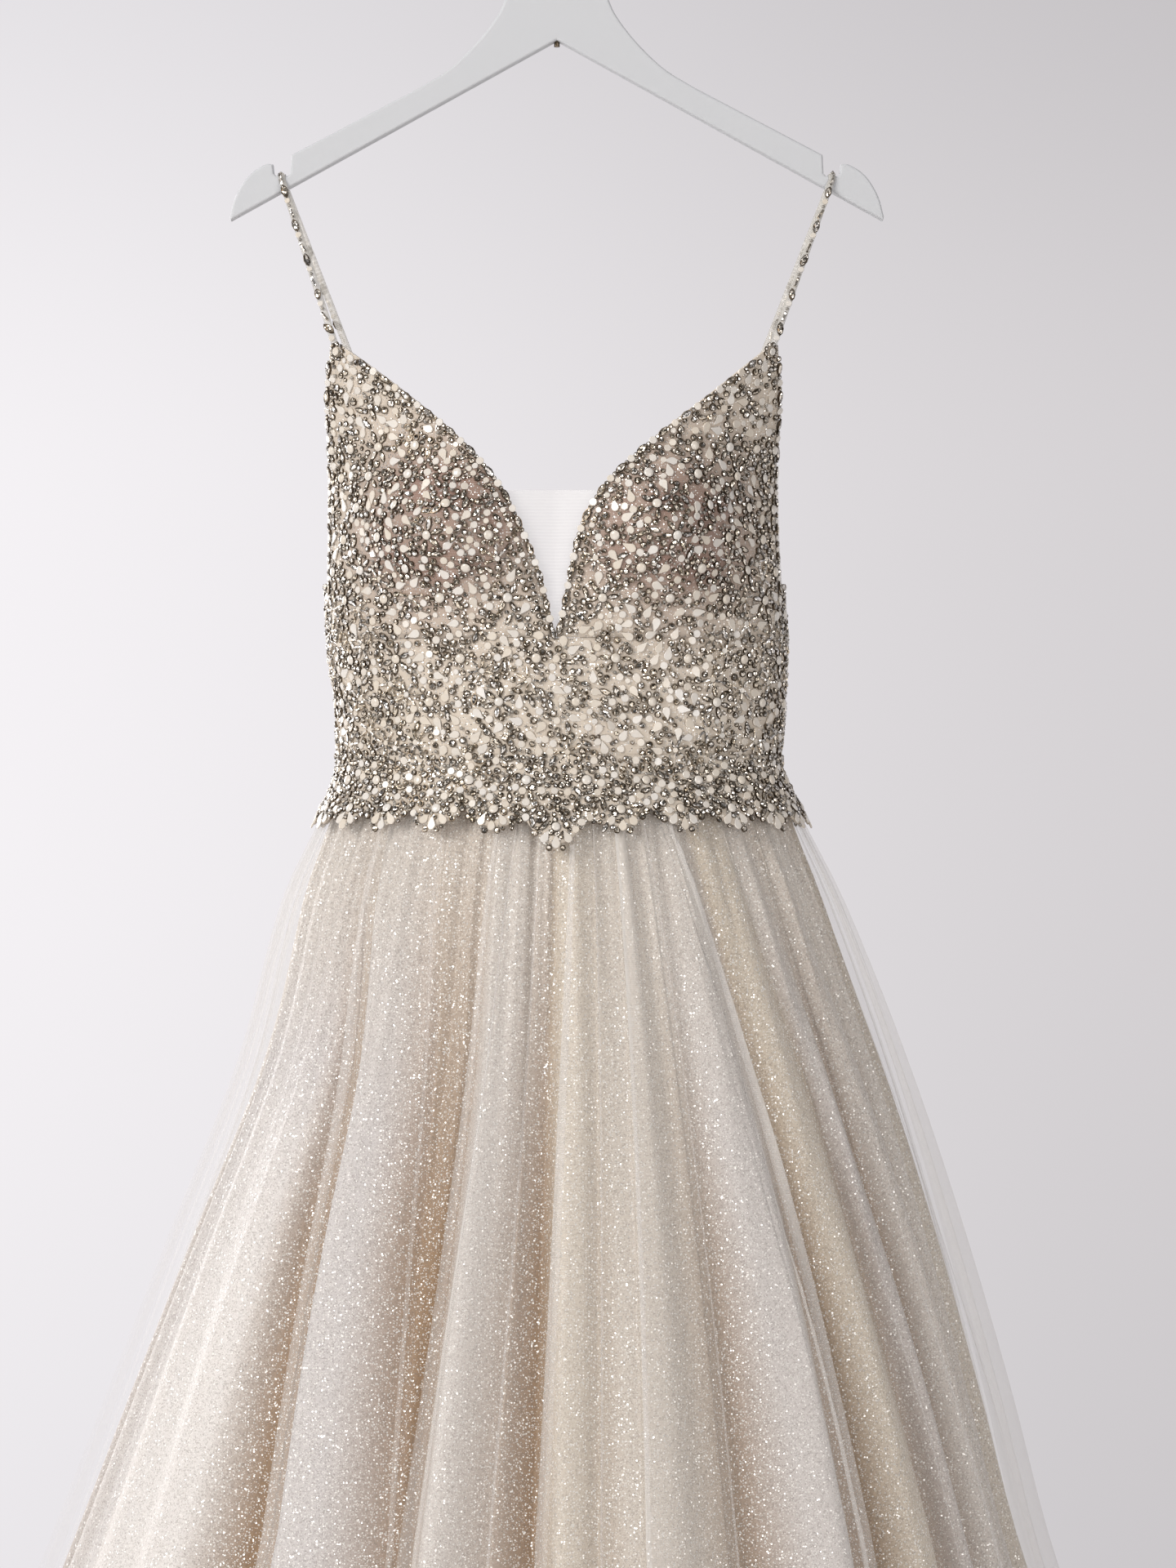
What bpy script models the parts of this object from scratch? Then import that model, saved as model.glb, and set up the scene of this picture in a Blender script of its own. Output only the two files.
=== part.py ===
# Wedding dress hanging on a wooden hanger: beaded bodice, thin straps and a layered gathered skirt.
# Metres, +Z up. The front faces -Y. The origin is where a rail carries the hook, at its inside top.

import math
from collections import namedtuple

import bmesh
import bpy
import numpy as np
from mathutils import Vector

# Driving sizes
SEAM = 0.0003
NET_WALL = 0.001
BODICE_WALL = 0.002
WAIST_Z = -0.610
CUP_FOOT_Z = -0.525
SIDE_PANEL_TOP_Z = -0.490
UNDERARM_Z = -0.407
BACK_DIP = 0.128
HEM_Z = -1.710

# Angles round the body in degrees: 0 is the centre front, 90 the right of the view, 180 the centre back
SIDE_SEAM = 78.0
BACK_SEAM = 112.0
STRAP_BACK_ANGLE = 146.0
STRAP_SWING = 16.0

# The garment's outline seen from above at each height: half widths left and right, depths front and back
Section = namedtuple("Section", "z left right front back")
BODICE = (
    Section(-0.330, 0.1700, 0.1665, 0.094, 0.078),
    Section(-0.368, 0.1640, 0.1595, 0.086, 0.078),
    Section(-0.407, 0.1554, 0.1505, 0.078, 0.078),
    Section(-0.450, 0.1548, 0.1500, 0.076, 0.079),
    Section(-0.490, 0.1550, 0.1520, 0.079, 0.080),
    Section(-0.525, 0.1540, 0.1540, 0.083, 0.081),
    Section(-0.560, 0.1492, 0.1528, 0.082, 0.081),
    Section(-0.595, 0.1468, 0.1500, 0.079, 0.080),
    Section(-0.610, 0.1458, 0.1488, 0.078, 0.079),
)
SKIRT = (
    Section(-0.610, 0.1458, 0.1488, 0.078, 0.079),
    Section(-0.624, 0.1500, 0.1550, 0.082, 0.083),
    Section(-0.649, 0.1620, 0.1680, 0.092, 0.094),
    Section(-0.698, 0.1850, 0.1930, 0.112, 0.116),
    Section(-0.808, 0.2160, 0.2370, 0.148, 0.155),
    Section(-0.918, 0.2600, 0.2740, 0.178, 0.190),
    Section(-1.027, 0.3030, 0.3060, 0.205, 0.222),
    Section(-1.137, 0.3460, 0.3350, 0.233, 0.255),
    Section(-1.400, 0.4500, 0.4250, 0.292, 0.318),
    Section(-1.710, 0.5560, 0.5280, 0.350, 0.378),
)

# The neckline: where each cup's inner edge lies, measured across from the centre
NeckRow = namedtuple("NeckRow", "z left right")
NECKLINE = (
    NeckRow(-0.3300, -0.1438, 0.1433),
    NeckRow(-0.3630, -0.1000, 0.1030),
    NeckRow(-0.3930, -0.0640, 0.0648),
    NeckRow(-0.4230, -0.0380, 0.0330),
    NeckRow(-0.4510, -0.0230, 0.0165),
    NeckRow(-0.4840, -0.0100, 0.0082),
    NeckRow(-0.5250, -0.0002, 0.0002),
)
INSET_HEM = 0.004
INSET_LEVELS = 6

# Heights that neighbouring panels share, so that their seams stay even
PANEL_LEVELS = (-0.610, -0.582, -0.552, -0.525, -0.490, -0.448, -0.407)
CUP_LEVELS = (-0.525, -0.508, -0.490, -0.469, -0.448, -0.428, -0.407, -0.390, -0.373, -0.357, -0.343, -0.330)

# A moulded cup on each side
CUP_ANGLE = 33.0
CUP_SPREAD = 24.0
CUP_Z = -0.452
CUP_HEIGHT = 0.046
CUP_FULLNESS = 0.036

# Large folds of the skirt: the ridge's angle at the waist and low down, how far it rises, and its two flanks
Fold = namedtuple("Fold", "high low rise left right")
FOLDS = (
    Fold(-176, -174, 0.9, 9, 8),
    Fold(-160, -157, 1.0, 8, 10),
    Fold(-143, -140, 0.8, 7, 9),
    Fold(-126, -122, 1.0, 10, 8),
    Fold(-108, -105, 0.8, 9, 8),
    Fold(-92, -90, 1.0, 8, 9),
    Fold(-77, -73, 0.9, 9, 9),
    Fold(-57, -50, 1.0, 14, 13),
    Fold(-37, -26, 1.0, 10, 8),
    Fold(-17, -12, 0.9, 6, 7),
    Fold(8, 4, 1.0, 8, 6),
    Fold(17, 14, 0.8, 6, 8),
    Fold(23, 29, 1.0, 9, 8),
    Fold(44, 44, 0.9, 7, 9),
    Fold(61, 61, 1.0, 8, 9),
    Fold(78, 77, 0.8, 8, 8),
    Fold(92, 91, 1.0, 7, 9),
    Fold(108, 107, 0.9, 8, 8),
    Fold(124, 122, 1.0, 9, 9),
    Fold(140, 138, 0.8, 8, 7),
    Fold(154, 153, 1.0, 9, 9),
    Fold(169, 170, 0.9, 8, 9),
)
FOLD_DEPTH = 0.055
GATHERS = 52
GATHER_DEPTH = ((0.0, 0.004), (0.08, 0.006), (0.30, 0.005), (0.55, 0.0025), (0.80, 0.0))

# Each layer of the skirt: how far it lies inside the outer one at the waist and low down, its share of the folds,
# how much of their depth the whole layer is cut in by, and how much shorter it hangs
Layer = namedtuple("Layer", "name inset_waist inset_low folds cut_in lift columns rows")
LAYERS = (
    Layer("skirt_tulle", 0.0002, 0.0, 1.0, 0.0, 0.0, 2, (0, 0.02, 0.06, 0.13, 0.27, 0.5, 0.75, 1)),
    Layer("skirt_glitter", 0.0015, 0.018, 0.92, 0.0, 0.004, 2, (0, 0.02, 0.06, 0.13, 0.27, 0.6, 1)),
    Layer("skirt_lining", 0.0028, 0.026, 0.25, 0.95, 0.010, 1, (0, 0.02, 0.06, 0.13, 0.45, 1)),
)
INSET_SETTLES = 0.15

# The beaded edge that hangs over the skirt's gathers
EDGE_TOP_Z = -0.602
EDGE_LOW_Z = -0.640
EDGE_SCALLOPS = 24
EDGE_SCALLOP_DROP = 0.012
EDGE_CENTRE_DROP = 0.012
EDGE_CENTRE_SPREAD = 9.0
EDGE_STEPS = (0.0, 0.34, 0.70, 1.0)
EDGE_WALL = 0.0016
EDGE_CLEAR = 0.0005

# Large stones and the thick bead row along the neckline
BODICE_RADIUS = 0.12
STONE_SIZE = 0.009
STONE_RISE = 0.003
STONE_TAPER = 0.0016
RIM_WIDTH = 0.008
RIM_RISE = 0.003

# Centre-back closure
BUTTONS = 5
BUTTON_RADIUS = 0.0055
BUTTON_DOME = 0.7
BUTTON_TOP_Z = -0.544
BUTTON_PITCH = 0.0122

# Hanger
HANGER_THICKNESS = 0.012
HANGER_ROUND = 0.0015
Corner = namedtuple("Corner", "x z")
HANGER_HALF = (
    Corner(0.0000, -0.0705),
    Corner(0.0125, -0.0720),
    Corner(0.0240, -0.0775),
    Corner(0.0315, -0.0860),
    Corner(0.0346, -0.0940),
    Corner(0.0390, -0.1039),
    Corner(0.0475, -0.1160),
    Corner(0.0590, -0.1290),
    Corner(0.0735, -0.1420),
    Corner(0.0920, -0.1533),
    Corner(0.1784, -0.1987),
    Corner(0.1790, -0.2112),
    Corner(0.1806, -0.2128),
    Corner(0.1884, -0.2128),
    Corner(0.1900, -0.2112),
    Corner(0.1906, -0.2050),
    Corner(0.1960, -0.2052),
    Corner(0.2070, -0.2125),
    Corner(0.2155, -0.2260),
    Corner(0.2195, -0.2400),
    Corner(0.2190, -0.2425),
    Corner(0.0000, -0.1215),
)
NOTCH_X = 0.1845
NOTCH_Z = -0.2128

# Hook
HOOK_WIRE = 0.002
HOOK_INSIDE = 0.0205
HOOK_TIP_ANGLE = 205.0
HOOK_TURN_ANGLE = -52.0
HOOK_STEPS = 20

# Straps
STRAP_WIDTH = 0.006
STRAP_THICKNESS = 0.0024
STRAP_BEAD_RISE = 0.0008
STRAP_BEADS_FRONT = 12
STRAP_BEADS_BACK = 20


def clear_scene():
    for old in list(bpy.data.objects):
        bpy.data.objects.remove(old, do_unlink=True)


def cloth_material(name, colour, roughness, metallic=0.0):
    material = bpy.data.materials.new(name)
    material.use_nodes = True
    shader = material.node_tree.nodes["Principled BSDF"]
    shader.inputs["Base Color"].default_value = (*colour, 1.0)
    shader.inputs["Roughness"].default_value = roughness
    shader.inputs["Metallic"].default_value = metallic
    return material


def read_table(table, z, column):
    # A smooth curve through a table's rows, read at one height
    heights = [row.z for row in table]
    values = [getattr(row, column) for row in table]
    last = len(table) - 1
    if z >= heights[0]:
        return values[0]
    if z <= heights[last]:
        return values[last]
    i = next(k for k in range(last) if heights[k + 1] <= z)
    span = heights[i + 1] - heights[i]
    before = max(i - 1, 0)
    after = min(i + 2, last)
    slope_here = (values[i + 1] - values[before]) / (heights[i + 1] - heights[before])
    slope_next = (values[after] - values[i]) / (heights[after] - heights[i])
    s = (z - heights[i]) / span
    here = (2 * s**3 - 3 * s**2 + 1) * values[i] + (s**3 - 2 * s**2 + s) * span * slope_here
    there = (3 * s**2 - 2 * s**3) * values[i + 1] + (s**3 - s**2) * span * slope_next
    return here + there


def half_width(table, angle, z):
    return read_table(table, z, "right" if math.sin(angle) > 0 else "left")


def depth(table, angle, z):
    return read_table(table, z, "front" if math.cos(angle) > 0 else "back")


def cup_swell(degrees, z):
    across = (abs(degrees) - CUP_ANGLE) / CUP_SPREAD
    along = (z - CUP_Z) / CUP_HEIGHT
    return CUP_FULLNESS * math.exp(-across**2 - along**2)


def bodice_point(degrees, z):
    angle = math.radians((degrees + 180) % 360 - 180)
    swell = cup_swell(math.degrees(angle), z) if math.cos(angle) > 0 else 0.0
    x = half_width(BODICE, angle, z) * math.sin(angle)
    y = -(depth(BODICE, angle, z) + swell) * math.cos(angle)
    return Vector((x, y, z))


def bodice_out(degrees, z):
    # The direction straight out of the bodice's surface
    across = bodice_point(degrees + 1, z) - bodice_point(degrees - 1, z)
    up = bodice_point(degrees, z + 0.003) - bodice_point(degrees, z - 0.003)
    return across.cross(up).normalized()


def bodice_at(degrees, z, out):
    return bodice_point(degrees, z) + bodice_out(degrees, z) * out


def bodice_angle(x, z):
    # The angle at which the bodice's front passes a distance across from the centre
    side = "right" if x > 0 else "left"
    return math.degrees(math.asin(x / read_table(BODICE, z, side)))


def gather_depth(t):
    return float(np.interp(t, [row[0] for row in GATHER_DEPTH], [row[1] for row in GATHER_DEPTH]))


def fold_height(degrees, t):
    # 1 on a ridge, 0 in a valley
    height = 0.0
    for fold in FOLDS:
        ridge = fold.high + (fold.low - fold.high) * min(1.0, t / 0.45) ** 0.7
        away = (degrees - ridge + 180) % 360 - 180
        reach = fold.right if away > 0 else fold.left
        if abs(away) < reach:
            height = max(height, fold.rise * (0.5 + 0.5 * math.cos(math.pi * away / reach)))
    return height


def skirt_at(degrees, t, inward, folds=0.0, cut_in=0.0, in_gather=False):
    # A point on the skirt: t runs from 0 at the waist to 1 at the hem
    angle = math.radians((degrees + 180) % 360 - 180)
    z = WAIST_Z + (HEM_Z - WAIST_Z) * t
    wide = half_width(SKIRT, angle, z)
    deep = depth(SKIRT, angle, z)
    out = Vector((math.sin(angle) / wide, -math.cos(angle) / deep, 0)).normalized()
    valley = FOLD_DEPTH * t**0.8 * (cut_in + folds * (1 - fold_height(degrees, t)))
    valley += gather_depth(t) if in_gather else 0.0
    return Vector((wide * math.sin(angle), -deep * math.cos(angle), z)) - out * (inward + valley)


def wall_mesh(outer, inner):
    # A closed wall from two grids of points: rows of equal length, one grid for each face
    mesh = bmesh.new()
    rows = len(outer)
    columns = len(outer[0])
    out = [[mesh.verts.new(p) for p in row] for row in outer]
    back = [[mesh.verts.new(p) for p in row] for row in inner]
    panes = {}
    for j in range(rows - 1):
        for i in range(columns - 1):
            panes[i, j] = mesh.faces.new((out[j][i], out[j][i + 1], out[j + 1][i + 1], out[j + 1][i]))
            mesh.faces.new((back[j][i], back[j + 1][i], back[j + 1][i + 1], back[j][i + 1]))
    for i in range(columns - 1):
        mesh.faces.new((out[0][i + 1], out[0][i], back[0][i], back[0][i + 1]))
        mesh.faces.new((out[-1][i], out[-1][i + 1], back[-1][i + 1], back[-1][i]))
    for j in range(rows - 1):
        mesh.faces.new((out[j][0], out[j + 1][0], back[j + 1][0], back[j][0]))
        mesh.faces.new((out[j + 1][-1], out[j][-1], back[j][-1], back[j + 1][-1]))
    bmesh.ops.recalc_face_normals(mesh, faces=mesh.faces[:])
    return mesh, panes


def raise_stones(mesh, faces):
    # A large stone stands on each chosen face of the outer side
    for face in faces:
        sides = [edge.calc_length() for edge in face.edges]
        margin = (min(sides) - STONE_SIZE) / 2
        bmesh.ops.inset_individual(mesh, faces=[face], thickness=margin)
        bmesh.ops.inset_individual(mesh, faces=[face], thickness=STONE_TAPER, depth=STONE_RISE)


def finish_mesh(name, mesh, material):
    data = bpy.data.meshes.new(name)
    mesh.to_mesh(data)
    mesh.free()
    data.materials.append(material)
    obj = bpy.data.objects.new(name, data)
    bpy.context.scene.collection.objects.link(obj)
    return obj


def bodice_wall(name, rows, material, wall=BODICE_WALL, sunk=0.0, rim=(), stones=()):
    # rows holds (height, angles) pairs, where a height may follow the angle;
    # rim names the columns that the thick bead row lifts
    outer = []
    inner = []
    for height, angles in rows:
        places = [(a, height(a) if callable(height) else height) for a in angles]
        lifts = [RIM_RISE if i in rim else 0.0 for i in range(len(angles))]
        outer.append([bodice_at(a, z, lift - sunk) for (a, z), lift in zip(places, lifts)])
        inner.append([bodice_at(a, z, -sunk - wall) for a, z in places])
    mesh, panes = wall_mesh(outer, inner)
    raise_stones(mesh, [panes[key] for key in stones])
    return finish_mesh(name, mesh, material)


def seam_degrees():
    # The seam's gap as an angle round the waist
    return math.degrees(SEAM / BODICE[-1].left)


def spread(low, high, count):
    return [low + (high - low) * i / count for i in range(count + 1)]


def cup_edge_angle(z):
    # Above the underarm the cup's outer edge swings forward to the strap
    rise = max(0.0, (z - UNDERARM_Z) / (BODICE[0].z - UNDERARM_Z))
    return SIDE_SEAM - STRAP_SWING * rise**0.8


def make_cup(side, material):
    name = "right" if side > 0 else "left"
    rows = []
    for z in CUP_LEVELS:
        inner_x = read_table(NECKLINE, z, name)
        inner = abs(bodice_angle(inner_x, z))
        outer = cup_edge_angle(z) - seam_degrees() / 2
        rim = min(math.degrees(RIM_WIDTH / BODICE_RADIUS), (outer - inner) * 0.3)
        angles = [inner, inner + rim] + spread(inner + rim * 1.35, outer, 8)
        rows.append((z, [side * a for a in angles]))
    stones = [(i, j) for i, j in checker(range(2, 10), range(1, 8)) if roomy(rows, i, j)]
    return bodice_wall("cup_" + name, rows, material, rim=(0, 1), stones=stones)


def checker(columns, rows):
    # Every second face of a grid
    return [(i, j) for j in rows for i in columns if (i + j) % 2 == 1]


def roomy(rows, i, j):
    # True where a face is large enough to carry a stone
    z_low, low = rows[j]
    z_high, high = rows[j + 1]
    narrow = min(abs(low[i + 1] - low[i]), abs(high[i + 1] - high[i]))
    room = min(math.radians(narrow) * BODICE_RADIUS, z_high - z_low)
    return room > STONE_SIZE * 1.2


def make_midriff(material):
    gap = seam_degrees() / 2
    angles = spread(-SIDE_SEAM + gap, SIDE_SEAM - gap, 16)
    rows = [(z, angles) for z in PANEL_LEVELS[:3] + (CUP_FOOT_Z - SEAM,)]
    return bodice_wall("midriff", rows, material, stones=checker(range(16), range(1, 3)))


def make_side(side, material):
    gap = seam_degrees() / 2
    angles = [side * a for a in spread(SIDE_SEAM + gap, BACK_SEAM - gap, 4)]
    rows = [(z, angles) for z in PANEL_LEVELS[:4] + (SIDE_PANEL_TOP_Z - SEAM,)]
    name = "side_right" if side > 0 else "side_left"
    return bodice_wall(name, rows, material, stones=checker(range(4), range(1, 4)))


def make_side_inset(side, material):
    gap = seam_degrees() / 2
    angles = [side * a for a in spread(SIDE_SEAM + gap, BACK_SEAM - gap, 4)]
    rows = [(z, angles) for z in PANEL_LEVELS[4:]]
    name = "side_inset_right" if side > 0 else "side_inset_left"
    return bodice_wall(name, rows, material, wall=NET_WALL)


def back_top(degrees):
    # The back's top edge falls from the underarm to a low point at the centre
    return UNDERARM_Z - BACK_DIP * (abs(degrees) - BACK_SEAM) / (180 - BACK_SEAM)


def make_back(side, material):
    gap = seam_degrees() / 2
    angles = [side * a for a in spread(BACK_SEAM + gap, 180 - gap, 8)]
    steps = [(z - WAIST_Z) / (UNDERARM_Z - WAIST_Z) for z in PANEL_LEVELS]
    rows = [(lambda a, s=s: WAIST_Z + (back_top(a) - WAIST_Z) * s, angles) for s in steps]
    name = "back_right" if side > 0 else "back_left"
    return bodice_wall(name, rows, material, stones=checker(range(4), range(1, 4)))


def make_neck_inset(material):
    # A fine net fills the foot of the V, sewn behind the cups' edges
    rows = []
    for z in CUP_LEVELS[:INSET_LEVELS]:
        low = read_table(NECKLINE, z, "left")
        high = read_table(NECKLINE, z, "right")
        across = [low - INSET_HEM] + spread(low, high, 4) + [high + INSET_HEM]
        rows.append((z, [bodice_angle(x, z) for x in across]))
    return bodice_wall("neck_inset", rows, material, wall=NET_WALL, sunk=BODICE_WALL + SEAM * 2)


def make_skirt_layer(layer, back, material):
    # Half of one layer, from side seam to side seam; every second column lies in a gather
    centre = 180.0 if back else 0.0
    gap = seam_degrees() / 2
    angles = spread(centre - 90, centre + 90, GATHERS * layer.columns // 2)
    angles[0] += gap
    angles[-1] -= gap
    outer = []
    inner = []
    for t in layer.rows:
        hung_t = t * (1 - layer.lift / (WAIST_Z - HEM_Z)) + SEAM * (1 - t)
        settle = min(1.0, t / INSET_SETTLES)
        inward = layer.inset_waist + (layer.inset_low - layer.inset_waist) * settle * (2 - settle)
        out_row = []
        in_row = []
        for i, degrees in enumerate(angles):
            shape = (layer.folds, layer.cut_in, layer.columns == 1 or i % 2 == 1)
            out_row.append(skirt_at(degrees, hung_t, inward, *shape))
            in_row.append(skirt_at(degrees, hung_t, inward + NET_WALL, *shape))
        outer.append(out_row)
        inner.append(in_row)
    mesh = wall_mesh(outer, inner)[0]
    return finish_mesh(layer.name + ("_back" if back else "_front"), mesh, material)


def edge_low(degrees):
    # The lower outline of the beaded edge, in even scallops with a longer one at the centre front
    around = (degrees + 180) % 360 - 180
    lobe = abs(math.cos(math.radians(degrees * EDGE_SCALLOPS / 2))) ** 0.8
    centre = math.exp(-((around / EDGE_CENTRE_SPREAD) ** 2))
    return EDGE_LOW_Z - EDGE_SCALLOP_DROP * lobe - EDGE_CENTRE_DROP * centre


def waist_at(degrees, z, out):
    if z > WAIST_Z:
        return bodice_at(degrees, z, out)
    t = (z - WAIST_Z) / (HEM_Z - WAIST_Z)
    return skirt_at(degrees, t, -out)


def make_waist_edge(back, material):
    centre = 180.0 if back else 0.0
    gap = seam_degrees() / 2
    angles = spread(centre - 90 + gap, centre + 90 - gap, EDGE_SCALLOPS * 2)
    outer = []
    inner = []
    for j, s in enumerate(EDGE_STEPS):
        out_row = []
        in_row = []
        for i, a in enumerate(angles):
            z = EDGE_TOP_Z + (edge_low(a) - EDGE_TOP_Z) * s
            stone = (j == 2 and i % 4 == 2) or (j == 1 and i % 4 == 0)
            out_row.append(waist_at(a, z, EDGE_CLEAR + EDGE_WALL + (STONE_RISE if stone else 0.0)))
            in_row.append(waist_at(a, z, EDGE_CLEAR))
        outer.append(out_row)
        inner.append(in_row)
    mesh = wall_mesh(outer, inner)[0]
    return finish_mesh("waist_edge_back" if back else "waist_edge_front", mesh, material)


def make_button(index, material):
    # A covered button: a low dome on the centre-back seam
    z = BUTTON_TOP_Z - BUTTON_PITCH * index
    seat = bodice_at(180, z, SEAM)
    out = bodice_out(180, z)
    mesh = bmesh.new()
    bmesh.ops.create_uvsphere(mesh, u_segments=10, v_segments=6, radius=BUTTON_RADIUS)
    bmesh.ops.bisect_plane(mesh, geom=mesh.verts[:] + mesh.edges[:] + mesh.faces[:],
                           plane_co=(0, 0, 0), plane_no=(0, 0, -1), clear_outer=True)
    bmesh.ops.holes_fill(mesh, edges=mesh.edges[:])
    bmesh.ops.scale(mesh, verts=mesh.verts[:], vec=(1, 1, BUTTON_DOME))
    obj = finish_mesh("button_%d" % (index + 1), mesh, material)
    obj.rotation_mode = "QUATERNION"
    obj.rotation_quaternion = out.to_track_quat("Z", "Y")
    obj.location = seat
    return obj


def sweep_strip(name, stations, material):
    # stations holds (centre, across, out, thickness) for each ring of a flat band
    mesh = bmesh.new()
    rings = []
    for centre, across, out, thickness in stations:
        a = across * (STRAP_WIDTH / 2)
        corners = (centre - a, centre + a, centre + a + out * thickness, centre - a + out * thickness)
        rings.append([mesh.verts.new(c) for c in corners])
    for ring, following in zip(rings, rings[1:]):
        for k in range(4):
            mesh.faces.new((ring[k], ring[(k + 1) % 4], following[(k + 1) % 4], following[k]))
    mesh.faces.new(rings[0][::-1])
    mesh.faces.new(rings[-1])
    bmesh.ops.recalc_face_normals(mesh, faces=mesh.faces[:])
    return finish_mesh(name, mesh, material)


def strap_run(start, end, beads):
    # A straight run whose thickness swells at each large bead
    direction = (end - start).normalized()
    across = Vector((1, 0, 0)) - direction * direction.x
    across.normalize()
    out = across.cross(direction).normalized()
    stations = []
    for i in range(beads + 1):
        rise = STRAP_BEAD_RISE if i % 2 == 1 else 0.0
        stations.append((start.lerp(end, i / beads), across, out, STRAP_THICKNESS + rise))
    return stations


def strap_foot(degrees, edge_z):
    # The strap's last ring lies along the edge of the panel that carries it
    step = math.copysign(1.0, degrees)
    seat = bodice_at(degrees, edge_z(degrees), -BODICE_WALL)
    before = bodice_at(degrees - step, edge_z(degrees - step), -BODICE_WALL)
    after = bodice_at(degrees + step, edge_z(degrees + step), -BODICE_WALL)
    across = (after - before).normalized()
    across *= math.copysign(1.0, across.x)
    return (seat, across, bodice_out(degrees, edge_z(degrees)), STRAP_THICKNESS)


def make_strap(side, material):
    top_z = NOTCH_Z + SEAM
    face = HANGER_THICKNESS / 2 + SEAM
    cup_top = BODICE[0].z
    front_angle = side * (cup_edge_angle(cup_top) - 2.1)
    front_foot = strap_foot(front_angle, lambda a: cup_top + SEAM)
    back_foot = strap_foot(side * STRAP_BACK_ANGLE, lambda a: back_top(a) + SEAM * 2)
    front_top = Vector((side * NOTCH_X, -face, top_z - 0.003))
    back_top_point = Vector((side * NOTCH_X, face, top_z - 0.003))
    front = strap_run(front_foot[0], front_top, STRAP_BEADS_FRONT)
    back = strap_run(back_top_point, back_foot[0], STRAP_BEADS_BACK)
    over = []
    across = Vector((1, 0, 0))
    for turn in (35, 65, 115, 145):
        a = math.radians(turn)
        out = Vector((0, -math.cos(a), math.sin(a)))
        reach = face if turn in (35, 145) else face * 0.62
        centre = Vector((side * NOTCH_X, -math.copysign(reach, math.cos(a)), top_z))
        over.append((centre, across, out, STRAP_THICKNESS))
    name = "strap_right" if side > 0 else "strap_left"
    return sweep_strip(name, [front_foot] + front[1:-1] + over + back[1:-1] + [back_foot], material)


def make_hanger(material):
    mesh = bmesh.new()
    half = list(HANGER_HALF)
    outline = half + [Corner(-c.x, c.z) for c in reversed(half[1:-1])]
    flat = mesh.faces.new([mesh.verts.new((c.x, -HANGER_THICKNESS / 2, c.z)) for c in outline])
    grown = bmesh.ops.extrude_face_region(mesh, geom=[flat])
    moved = [v for v in grown["geom"] if isinstance(v, bmesh.types.BMVert)]
    bmesh.ops.translate(mesh, verts=moved, vec=(0, HANGER_THICKNESS, 0))
    bmesh.ops.recalc_face_normals(mesh, faces=mesh.faces[:])
    obj = finish_mesh("hanger_body", mesh, material)
    bevel = obj.modifiers.new("rounded edges", "BEVEL")
    bevel.width = HANGER_ROUND
    bevel.segments = 1
    bevel.limit_method = "ANGLE"
    bevel.angle_limit = math.radians(60)
    return obj


def make_hook(material):
    # A plain wire hook: its inside top is the origin, and its stem stands on the hanger
    radius = HOOK_INSIDE + HOOK_WIRE
    centre_z = -HOOK_INSIDE
    points = []
    for a in spread(HOOK_TIP_ANGLE, HOOK_TURN_ANGLE, HOOK_STEPS):
        angle = math.radians(a)
        points.append(Vector((radius * math.cos(angle), 0, centre_z + radius * math.sin(angle))))
    stem_top = Vector((0, 0, -0.0535))
    stem_foot = Vector((0, 0, HANGER_HALF[0].z + SEAM))
    leave = points[-1]
    heading = (points[-1] - points[-2]).normalized() * 0.012
    for s in (0.3, 0.6, 0.85):
        a = leave + heading * s
        b = stem_top + Vector((0, 0, 0.010)) * (1 - s)
        points.append(a.lerp(b, s * s * (3 - 2 * s)))
    points += [stem_top, stem_top.lerp(stem_foot, 0.5), stem_foot]
    curve = bpy.data.curves.new("hanger_hook", "CURVE")
    curve.dimensions = "3D"
    curve.bevel_depth = HOOK_WIRE
    curve.bevel_resolution = 2
    curve.use_fill_caps = True
    spline = curve.splines.new("POLY")
    spline.points.add(len(points) - 1)
    for slot, point in zip(spline.points, points):
        slot.co = (*point, 1)
    curve.materials.append(material)
    obj = bpy.data.objects.new("hanger_hook", curve)
    bpy.context.scene.collection.objects.link(obj)
    return obj


def main():
    clear_scene()
    beaded = cloth_material("beaded_tulle", (0.62, 0.56, 0.50), 0.35)
    net = cloth_material("fine_net", (0.86, 0.82, 0.78), 0.8)
    tulle = cloth_material("sheer_tulle", (0.88, 0.86, 0.83), 0.75)
    glitter = cloth_material("glitter_tulle", (0.74, 0.69, 0.64), 0.45)
    lining = cloth_material("champagne_lining", (0.62, 0.47, 0.36), 0.6)
    satin = cloth_material("button_satin", (0.80, 0.74, 0.66), 0.4)
    paint = cloth_material("hanger_paint", (0.58, 0.60, 0.62), 0.45)
    steel = cloth_material("hook_steel", (0.62, 0.62, 0.62), 0.25, 1.0)
    for side in (-1, 1):
        make_cup(side, beaded)
        make_side(side, beaded)
        make_side_inset(side, net)
        make_back(side, beaded)
        make_strap(side, beaded)
    make_midriff(beaded)
    make_neck_inset(net)
    for layer, cloth in zip(LAYERS, (tulle, glitter, lining)):
        make_skirt_layer(layer, False, cloth)
        make_skirt_layer(layer, True, cloth)
    make_waist_edge(False, beaded)
    make_waist_edge(True, beaded)
    for index in range(BUTTONS):
        make_button(index, satin)
    make_hanger(paint)
    make_hook(steel)


main()
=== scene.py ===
# The looks of a wedding dress on its hanger: beaded bodice, sheer nets and a gathered skirt of three layers.
# Metres, +Z up, the front faces -Y.
# Angles run round the body in degrees: 0 is the centre front, 90 the right.

import math

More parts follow.
